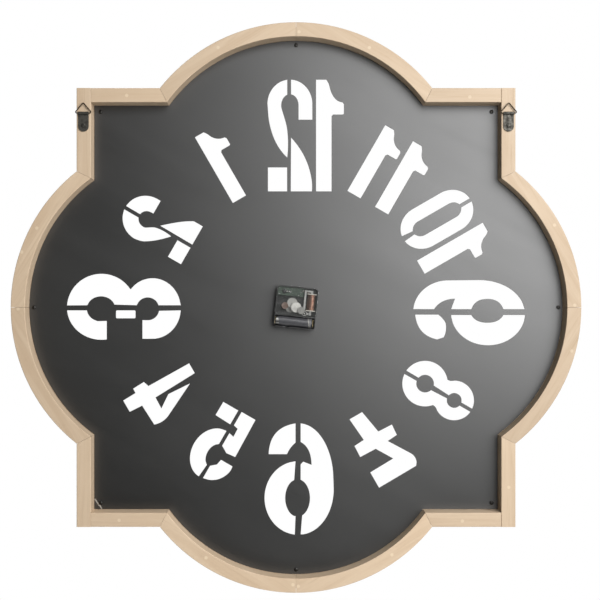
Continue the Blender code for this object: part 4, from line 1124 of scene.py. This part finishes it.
class CLOCK_OT_cover(bpy.types.Operator):
    """Make the clear rear cover with its raised ring, knob hole and four side clips"""
    bl_idname = "clock.cover"
    bl_label = "Rear cover"

    def execute(self, context):
        low, high = seated_box("rear_cover")
        knob = seated_axis("setting_knob")
        loops = [rounded_box((low.x, low.z), (high.x, high.z), CASE_CORNER),
                 circle(knob, 1.45 * MM)]
        cover = plate("clear_rear_cover", loops, high.y, low.y, 0.3 * MM, 2)
        rise = high.y + 0.5 * MM
        boss = turned("boss", [(2.6 * MM, high.y - 0.2 * MM), (2.6 * MM, rise), (3.4 * MM, rise),
                               (3.4 * MM, high.y - 0.2 * MM)])
        combine(cover, boss, operation="UNION")
        hook = seated_box("movement_case")[0].y + 9 * MM
        reach, thick, width = high.x, 0.9 * MM, 3 * MM
        for side in (-1, 1):
            for z in (16 * MM, -6 * MM):
                outer, inner = side * (reach + thick), side * (reach - 0.4 * MM)
                clip = block("clip", (min(outer, inner), high.y - 0.9 * MM, z - width),
                             (max(outer, inner), high.y - 0.1 * MM, z + width))
                arm_in = side * (reach + 0.12 * MM)
                arm = block("arm", (min(outer, arm_in), hook, z - width),
                            (max(outer, arm_in), high.y - 0.3 * MM, z + width))
                combine(cover, clip, arm, operation="UNION")
        seat(eased(cover, 0.12 * MM, 1, 60))
        surface = clear_plastic("smoked_clear_plastic", context.scene.clock_movement)
        finish_piece(cover, "frame", "clear_plastic", surface, "rear_cover")
        return {"FINISHED"}


class CLOCK_OT_wheels(bpy.types.Operator):
    """Make the toothed wheels, with thinned webs, softened teeth and polished arbors"""
    bl_idname = "clock.wheels"
    bl_label = "Wheels"

    def execute(self, context):
        colours = context.scene.clock_movement
        white = plastic("white_acetal", colours.wheel, 0.42, 0.08, 3000)
        # Painted shade: the two darker finishes are the white plastic darkened, standing in for
        # shade so that overlapping wheels stand apart
        darkened = plastic("shaded_acetal", tuple(0.62 * c for c in colours.wheel), 0.45, 0.08, 3000)
        deeply_shaded = plastic("deeply_shaded_acetal", tuple(0.42 * c for c in colours.wheel), 0.45, 0.08, 3000)
        steel = metal("arbor_steel", (0.42, 0.42, 0.41), 0.32, (1, 0.2, 1))
        # Wheel, body, finish, the web's two faces and its inner and outer radius
        wheels = (
            ("seconds_wheel", "seconds_wheel", white, (-11.0, -10.4), (1.9, 5.7)),
            ("intermediate_wheel", "intermediate_wheel", deeply_shaded, (-9.2, -8.6), (2.0, 4.1)),
            ("third_wheel", "third_wheel", darkened, (-12.9, -12.3), (2.0, 6.0)),
            ("centre_wheel", "centre_wheel", white, (-15.0, -14.4), (2.8, 6.0)),
            ("minute_wheel", "minute_wheel", deeply_shaded, (-16.3, -15.5), (2.2, 4.7)),
            ("hour_wheel", "hour_hand", white, (-17.5, -16.7), (3.2, 5.1)),
        )
        for node, body, surface, faces, web in wheels:
            x, z = axis_of(node)
            inner, outer, slant = web[0] * MM, web[1] * MM, 0.1 * MM
            wheel = merged_copy(node, "toothed_" + node)
            for face, away in zip(faces, (-1, 1)):
                face, sunk = face * MM, 0.14 * MM * away
                groove = turned("groove", [(inner, face - sunk), (outer, face - sunk),
                                           (outer + slant, face + sunk),
                                           (inner - slant, face + sunk)], "Y", (x, 0, z), 40)
                combine(wheel, groove)
            eased(wheel, 0.05 * MM)
            finish_piece(wheel, body, "white_plastic", surface, node)
        for node, body, slot, surface in (("rotor_pinion", "rotor", "white_plastic", white),
                                          ("minute_arbor", "minute_hand", "arbor_steel", steel)):
            wheel = merged_copy(node, "toothed_" + node)
            eased(wheel, 0.05 * MM)
            finish_piece(wheel, body, slot, surface, node)
        return {"FINISHED"}


class CLOCK_OT_knob(bpy.types.Operator):
    """Make the knurled setting knob with its arbor and pinion"""
    bl_idname = "clock.knob"
    bl_label = "Setting knob"

    def execute(self, context):
        low, high = seated_box("setting_knob")
        x, z = axis_of("setting_knob")
        radius = (high.x - low.x) / 2
        knob = merged_copy("setting_knob", "knurled_setting_knob")
        back, front = high.y, high.y - 2.1 * MM
        combine(knob, rod("dish", radius - 1.5 * MM, back - 0.5 * MM, back + MM, "Y",
                          (x, 0, z), 48, radius - MM))
        grooves, far = 24, radius + 0.12 * MM
        knurls = []
        for number in range(grooves):
            angle = 2 * pi * number / grooves
            at = (x + far * cos(angle), 0, z + far * sin(angle))
            knurls.append(rod(f"knurl{number}", 0.32 * MM, front - MM, back + MM, "Y", at, 10))
        combine(knob, gather("knurls", knurls))
        bar = block("grip", (-radius + 1.9 * MM, back - 0.8 * MM, -0.5 * MM),
                    (radius - 1.9 * MM, back - 0.05 * MM, 0.5 * MM))
        bar.data.transform(Matrix.Translation((x, 0, z)) @ Matrix.Rotation(radians(35), 4, "Y"))
        combine(knob, bar, operation="UNION")
        eased(knob, 0.06 * MM)
        surface = plastic("brown_moulding", context.scene.clock_movement.knob, 0.38, 0.2)
        finish_piece(knob, "setting_knob", "brown_plastic", surface, "setting_knob")
        return {"FINISHED"}


class CLOCK_OT_motor(bpy.types.Operator):
    """Make the stator, bobbin, wound coil, its two leads and the rotor's magnet"""
    bl_idname = "clock.motor"
    bl_label = "Motor"

    def execute(self, context):
        colours = context.scene.clock_movement
        back, front = depths("stator")
        loops = [rounded(loop) for loop in outline("stator")]
        middle = (back + front) / 2
        apart, edge = 0.02 * MM, 0.06 * MM
        core = [plate("rear_lamination", loops, back, middle + apart, edge, 1),
                plate("front_lamination", loops, middle - apart, front, edge, 1)]
        stator = smooth(gather("laminated_stator", core), 25)
        finish_piece(stator, "frame", "bright_steel",
                     metal("stator_steel", (0.46, 0.46, 0.44), 0.36, (1, 1, 0.2)), "stator")
        bobbin = merged_copy("coil_bobbin", "moulded_coil_bobbin")
        eased(bobbin, 0.2 * MM, 2, 50)
        finish_piece(bobbin, "frame", "white_plastic",
                     plastic("bobbin_nylon", (0.66, 0.62, 0.54), 0.4), "coil_bobbin")
        finish_piece(self.winding(), "frame", "copper_wire",
                     wound_copper("copper_winding", colours.copper), "coil_winding")
        low, high = seated_box("rotor_magnet")
        x, z = seated_axis("rotor_magnet")
        radius, bore, ease = (high.x - low.x) / 2, 0.5 * MM, 0.15 * MM
        magnet = turned("ground_rotor_magnet", [
            (bore, low.y), (radius - ease, low.y), (radius, low.y + ease), (radius, high.y - ease),
            (radius - ease, high.y), (bore, high.y)], "Y", (x, 0, z), 48)
        finish_piece(seat(smooth(magnet, 30)), "rotor", "magnet",
                     metal("ferrite", (0.10, 0.10, 0.105), 0.55, marks=0.3), "rotor_magnet")
        self.leads(colours)
        return {"FINISHED"}

    def winding(self):
        """Turns of wire laid side by side on the bobbin, a little uneven."""
        low, high = seated_box("coil_winding")
        radius = (high.x - low.x) / 2
        turns, inside = 56, 4.4 * MM
        pitch = (high.z - low.z) / turns
        profile = [(inside, low.z)]
        for number in range(turns):
            slump = 0.12 * MM * (0.5 + 0.5 * sin(number * 2.4)) * (1 if number % 7 else 2)
            outer = radius - slump
            along = low.z + number * pitch
            profile += [(outer - pitch * 0.32, along), (outer, along + pitch * 0.3),
                        (outer, along + pitch * 0.7)]
        profile += [(inside, high.z)]
        at = ((low.x + high.x) / 2, (low.y + high.y) / 2, 0)
        coil = turned("wound_coil", profile, "Z", at, 48)
        return seat(smooth(coil, 50))

    def leads(self, colours):
        """Fine wires from the coil's upper flange to the board."""
        high = seated_box("coil_bobbin")[1]
        board_low, board_high = seated_box("circuit_board")
        surface = wound_copper("lead_copper", colours.copper)
        for number in range(2):
            start = Vector((high.x - 2.5 * MM, high.y - 1.2 * MM - number * 0.8 * MM,
                            high.z + 0.1 * MM))
            end = Vector((board_low.x + (1.2 + 2.6 * number) * MM, board_high.y + 0.1 * MM,
                          board_high.z - (3.4 + 2.2 * number) * MM))
            lift = Vector((0, 0.2 * MM, 2.0 * MM - number * 0.6 * MM))
            points = [start.lerp(end, t / 16) + lift * sin(pi * t / 16) for t in range(17)]
            lead = seat(smooth(tube(f"coil_lead_{number + 1}", points, 0.11 * MM, False, 8), 60))
            finish_piece(lead, "frame", "copper_wire", surface)


class CLOCK_OT_board(bpy.types.Operator):
    """Make the circuit board with its sealed chip, crystal can and solder joints"""
    bl_idname = "clock.board"
    bl_label = "Circuit board"

    def execute(self, context):
        low, high = seated_box("circuit_board")
        loops = [rounded_box((low.x, low.z), (high.x, high.z), MM)]
        board = seat(smooth(plate("etched_circuit_board", loops, high.y, low.y, 0.06 * MM, 1), 25))
        finish_piece(board, "frame", "board", board_finish("green_lacquer"), "circuit_board")
        middle = (low.x + 26 * MM, high.y, high.z - 6.2 * MM)
        chip = dome("sealed_chip", middle, 3.1 * MM, 1.3 * MM, 40)
        finish_piece(seat(smooth(chip, 60)), "frame", "black_plastic",
                     plastic("sealing_resin", (0.016, 0.016, 0.017), 0.3, 0.3, 700))
        solder = metal("solder", (0.34, 0.34, 0.33), 0.42, marks=0.4)
        places = [(low.x + 1.2 * MM, high.z - 3.4 * MM), (low.x + 3.8 * MM, high.z - 5.6 * MM),
                  (low.x + 17.4 * MM, high.z - 5.2 * MM), (low.x + 17.4 * MM, high.z - 6.8 * MM),
                  (high.x - 1.6 * MM, low.z + 1.6 * MM), (high.x - 1.6 * MM, high.z - 1.8 * MM),
                  (low.x + 6.6 * MM, low.z + 1.5 * MM)]
        joints = [dome(f"joint{number}", (x, high.y, z), 0.75 * MM, 0.42 * MM, 16)
                  for number, (x, z) in enumerate(places)]
        finish_piece(seat(smooth(gather("solder_joints", joints), 60)), "frame", "bright_steel",
                     solder)
        self.crystal(high.y)
        self.contacts()
        return {"FINISHED"}

    def crystal(self, board_back):
        """A small metal can lying on the board with two wires from one end."""
        low, high = seated_box("crystal")
        radius, y, z = (high.y - low.y) / 2, (high.y + low.y) / 2, (high.z + low.z) / 2
        neck, ease = radius * 0.88, 0.5 * MM
        profile = [(0, low.x), (neck, low.x), (neck, low.x + 0.3 * MM),
                   (radius, low.x + 0.35 * MM), (radius, high.x - ease)]
        profile += [(radius - ease * (1 - cos(radians(a))), high.x - ease * (1 - sin(radians(a))))
                    for a in (30, 60, 90)] + [(0, high.x)]
        can = turned("crystal_can", profile, "X", (0, y, z), 32)
        finish_piece(seat(smooth(can, 35)), "frame", "bright_steel",
                     metal("nickel_can", (0.66, 0.66, 0.63), 0.22, (0.2, 1, 1), marks=0.25),
                     "crystal")
        wires = []
        for side in (-1, 1):
            start = Vector((low.x, y, z + side * 0.35 * MM))
            bend_at = Vector((low.x - 0.7 * MM, y - 0.1 * MM, z + side * 0.8 * MM))
            end = Vector((low.x - MM, board_back + 0.2 * MM, z + side * 0.8 * MM))
            points = [start.lerp(bend_at, t / 8).lerp(bend_at.lerp(end, t / 8), t / 8)
                      for t in range(9)]
            wires.append(tube(f"wire{side}", points, 0.12 * MM, False, 8))
        finish_piece(seat(smooth(gather("crystal_wires", wires), 60)), "frame", "bright_steel",
                     metal("tinned_wire", (0.6, 0.6, 0.58), 0.3, marks=0.2))

    def contacts(self):
        """The two sprung strips at the cell's ends, each with a pressed dimple."""
        surface = metal("contact_brass", (0.70, 0.56, 0.30), 0.30, (1, 1, 0.3), marks=0.4)
        for node in ("contact_plus", "contact_minus"):
            strip = merged_copy(node, "sprung_" + node)
            eased(strip, 0.08 * MM, 1, 50)
            finish_piece(strip, "frame", "contact_brass", surface, node)


class CLOCK_OT_cell(bpy.types.Operator):
    """Make the dry cell, with its crimped ends, raised plus button and film sleeve"""
    bl_idname = "clock.cell"
    bl_label = "Dry cell"

    def execute(self, context):
        low, high = seated_box("aa_cell")
        radius, y, z = (high.z - low.z) / 2, (high.y + low.y) / 2, (high.z + low.z) / 2
        start, end = low.x, high.x
        plus, minus = 0.7 * MM, 0.6 * MM                       # roundings of the crimped ends
        # The button and the pressed rings of the plus end, in millimetres out and along
        button = ((0, 0), (2.3, 0), (2.55, 0.2), (2.6, 1.15), (3.6, 1.25), (4.6, 1.6), (5.4, 1.35),
                  (6.2, 1.2))
        profile = [(out * MM, start + along * MM) for out, along in button]
        profile += [(radius - plus + plus * sin(radians(a)),
                     start + 1.9 * MM - plus * cos(radians(a))) for a in (15, 40, 65, 90)]
        profile += [(radius - 0.12 * MM, start + 2.3 * MM), (radius, start + 2.6 * MM),
                    (radius, end - 1.2 * MM)]
        profile += [(radius - minus * (1 - cos(radians(a))),
                     end - minus * (1 - sin(radians(a))) - 0.3 * MM) for a in (0, 30, 60, 90)]
        profile += [(5.2 * MM, end - 0.3 * MM), (4.9 * MM, end), (0, end)]
        cell = seat(smooth(turned("sleeved_aa_cell", profile, "X", (0, y, z), 72), 30))
        surface = cell_sleeve("cell_film", context.scene.clock_movement, start, end)
        finish_piece(cell, "aa_cell", "cell_sleeve", surface, "aa_cell")
        return {"FINISHED"}


# ---------------------------------------------------------------- shaft fittings and hands

class CLOCK_OT_fittings(bpy.types.Operator):
    """Make the threaded bush, hex nut, brass and rubber washers and the cap nut"""
    bl_idname = "clock.fittings"
    bl_label = "Shaft fittings"

    def execute(self, context):
        brass = metal("turned_brass", context.scene.clock_metal.brass, 0.28, (1, 0.15, 1),
                      marks=0.35)
        finish_piece(self.bush(), "frame", "brass", brass, "threaded_bush")
        finish_piece(self.nut(), "frame", "brass", brass, "hex_nut")
        finish_piece(self.washer("brass_washer", 0.12 * MM), "frame", "brass", brass,
                     "brass_washer")
        finish_piece(self.washer("rubber_washer", 0.25 * MM), "frame", "black_rubber",
                     rubber("black_rubber"), "rubber_washer")
        finish_piece(self.cap(), "minute_hand", "brass", brass, "cap_nut")
        return {"FINISHED"}

    def washer(self, node, ease):
        """A washer on the bush with its edges eased."""
        low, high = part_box(node)
        radius, bore = (high.x - low.x) / 2, 4.3 * MM
        small = ease * 0.3
        profile = [(bore + ease, low.y), (radius - ease, low.y), (radius - small, low.y + small),
                   (radius, low.y + ease), (radius, high.y - ease),
                   (radius - small, high.y - small), (radius - ease, high.y),
                   (bore + ease, high.y), (bore, high.y - ease), (bore, low.y + ease)]
        return smooth(turned("turned_" + node, profile, steps=72), 40)

    def cap(self):
        """A domed nut, bored from behind, that holds the minute hand."""
        low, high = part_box("cap_nut")
        radius, bore = (high.x - low.x) / 2, 1.55 * MM
        crown, ease = (high.y - low.y) * 0.62, 0.15 * MM
        profile = [(radius * sin(radians(a)), low.y + crown * (1 - cos(radians(a))))
                   for a in range(0, 91, 10)]
        profile += [(radius, high.y - ease), (radius - ease, high.y), (bore, high.y),
                    (bore, high.y - 1.2 * MM), (0, high.y - 1.2 * MM)]
        return smooth(turned("domed_cap_nut", profile, steps=48), 40)

    def bush(self):
        """A bush with a fine thread in front and a collar inside the case."""
        low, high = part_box("threaded_bush")
        bore, radius, pitch = 2.55 * MM, 4.0 * MM, 0.5 * MM
        collar = (high.x - low.x) / 2
        collar_front = high.y - 0.5 * MM
        profile = [(bore, low.y), (radius - 0.4 * MM, low.y)]
        along = low.y + 0.3 * MM
        while along + pitch < collar_front - 0.3 * MM:
            profile += [(radius - 0.26 * MM, along), (radius, along + pitch * 0.42),
                        (radius, along + pitch * 0.58)]
            along += pitch
        neck, ease = radius - 0.2 * MM, 0.1 * MM
        profile += [(neck, along), (neck, collar_front), (collar - ease, collar_front),
                    (collar, collar_front + ease), (collar, high.y - ease),
                    (collar - ease, high.y), (bore, high.y)]
        return smooth(turned("fine_threaded_bush", profile), 25)

    def nut(self):
        """A hexagon with its corners turned off on both faces."""
        back, front = depths("hex_nut")
        outside = outline("hex_nut")[0]
        nut = plate("chamfered_hex_nut", [outside, circle((0, 0), 4.15 * MM, 64)], back, front)
        corner = max(place.length for place in outside)
        face, clear, ease = corner * cos(pi / 6) - 0.1 * MM, corner + 0.05 * MM, 0.45 * MM
        profile = [(0, front), (face, front), (clear, front + ease),
                   (clear, back - ease), (face, back), (0, back)]
        combine(nut, turned("turning", profile, steps=96), operation="INTERSECT")
        return smooth(seal(nut), 25)


class CLOCK_OT_hands(bpy.types.Operator):
    """Make the hour and minute hands, with rolled edges and pressed collets"""
    bl_idname = "clock.hands"
    bl_label = "Hands"

    def execute(self, context):
        surface = enamel("cream_enamel", context.scene.clock_metal.hands)
        for node, collet in (("hour_hand", 4.4 * MM), ("minute_hand", 3.4 * MM)):
            back, front = depths(node)
            loops = [rounded(loop, radians(28)) for loop in outline(node)]
            bore = max(p.length for p in loops[1])
            hand = plate("enamelled_" + node, loops, back, front, 0.22 * MM, 2)
            rise = front - 0.35 * MM
            root, ease = front + 0.1 * MM, 0.2 * MM
            ring = turned("collet", [(bore, rise), (collet - ease, rise), (collet, rise + ease),
                                     (collet, root), (bore, root)], steps=48)
            combine(hand, ring, operation="UNION")
            finish_piece(smooth(seal(hand), 28), node, "cream_enamel", surface, node)
        return {"FINISHED"}


# ---------------------------------------------------------------- stage

class CLOCK_OT_stage(bpy.types.Operator):
    """Make the pale floor, the soft lights and the camera behind the clock"""
    bl_idname = "clock.stage"
    bl_label = "Stage"

    def execute(self, context):
        settings = context.scene.clock_stage
        context.scene.view_settings.view_transform = "Standard"
        self.world(context.scene, settings.fill)
        deselect()
        reach, drop = 1.75, 0.75
        bpy.ops.mesh.primitive_circle_add(vertices=96, radius=reach, fill_type="NGON",
                                          location=(0, 0, CAD_LOW.z - drop))
        floor = settle(bpy.context.object)
        floor.name = "studio_floor"
        floor.data.materials.append(floor_finish("pale_floor", settings.floor, reach))
        self.softbox("key_light", (-0.79, 1.24, 0.52), 1.6, settings.key_power)
        self.softbox("low_light", (0.60, 0.50, -1.50), 1.2, settings.low_power)
        self.softbox("front_light", (0.95, -1.6, 1.1), 0.9, settings.front_power)
        deselect()
        bpy.ops.object.camera_add(location=(settings.across, settings.distance, settings.up),
                                  rotation=(pi / 2, 0, pi))
        camera = bpy.context.object
        sensor = 36
        camera.data.sensor_width = sensor
        camera.data.lens = sensor * settings.distance / settings.view_width
        context.scene.camera = camera
        return {"FINISHED"}

    def softbox(self, name, place, size, power):
        deselect()
        bpy.ops.object.light_add(type="AREA", location=place)
        light = bpy.context.object
        light.name = name
        light.data.shape = "RECTANGLE"
        light.data.size = light.data.size_y = size
        light.data.energy = power
        light.rotation_euler = (-Vector(place)).to_track_quat("-Z", "Y").to_euler()
        light.visible_camera = False

    def world(self, scene, fill):
        """White behind the clock, and an even fill that lights it from all round."""
        world = bpy.data.worlds.new("studio")
        scene.world = world
        world.use_nodes = True
        tree = world.node_tree
        background = tree.nodes["Background"]
        background.inputs["Color"].default_value = (1, 1, 1, 1)
        paths = tree.nodes.new("ShaderNodeLightPath")
        strength = tree.nodes.new("ShaderNodeMapRange")
        strength.inputs["To Min"].default_value = fill
        strength.inputs["To Max"].default_value = 1.0
        tree.links.new(paths.outputs["Is Camera Ray"], strength.inputs["Value"])
        tree.links.new(strength.outputs["Result"], background.inputs["Strength"])


# ---------------------------------------------------------------- sidebar and run

OPERATORS = (CLOCK_OT_rim, CLOCK_OT_ring, CLOCK_OT_dial, CLOCK_OT_dial_screws, CLOCK_OT_hangers,
             CLOCK_OT_case, CLOCK_OT_cover, CLOCK_OT_wheels, CLOCK_OT_knob, CLOCK_OT_motor,
             CLOCK_OT_board, CLOCK_OT_cell, CLOCK_OT_fittings, CLOCK_OT_hands, CLOCK_OT_stage)
SETTINGS = (("clock_wood", ClockWood), ("clock_metal", ClockMetal),
            ("clock_movement", ClockMovement), ("clock_stage", ClockStage))


class CLOCK_PT_panel(bpy.types.Panel):
    """Sizes and colours of the clock, and a button for each group of its pieces"""
    bl_idname = "CLOCK_PT_panel"
    bl_label = "Wall Clock"
    bl_space_type = "VIEW_3D"
    bl_region_type = "UI"
    bl_category = "Clock"

    def draw(self, context):
        for name, group in SETTINGS:
            box = self.layout.box()
            for key in group.__annotations__:
                box.prop(getattr(context.scene, name), key)
        for operator in OPERATORS:
            self.layout.operator(operator.bl_idname)


def register():
    for _, group in SETTINGS:
        bpy.utils.register_class(group)
    for made in (*OPERATORS, CLOCK_PT_panel):
        bpy.utils.register_class(made)
    for name, group in SETTINGS:
        setattr(bpy.types.Scene, name, PointerProperty(type=group))


def unregister():
    for name, _ in SETTINGS:
        delattr(bpy.types.Scene, name)
    for made in (CLOCK_PT_panel, *reversed(OPERATORS)):
        bpy.utils.unregister_class(made)
    for _, group in SETTINGS:
        bpy.utils.unregister_class(group)


def main():
    register()
    for operator in OPERATORS:
        group, name = operator.bl_idname.split(".")
        getattr(getattr(bpy.ops, group), name)()


if __name__ == "__main__":
    main()
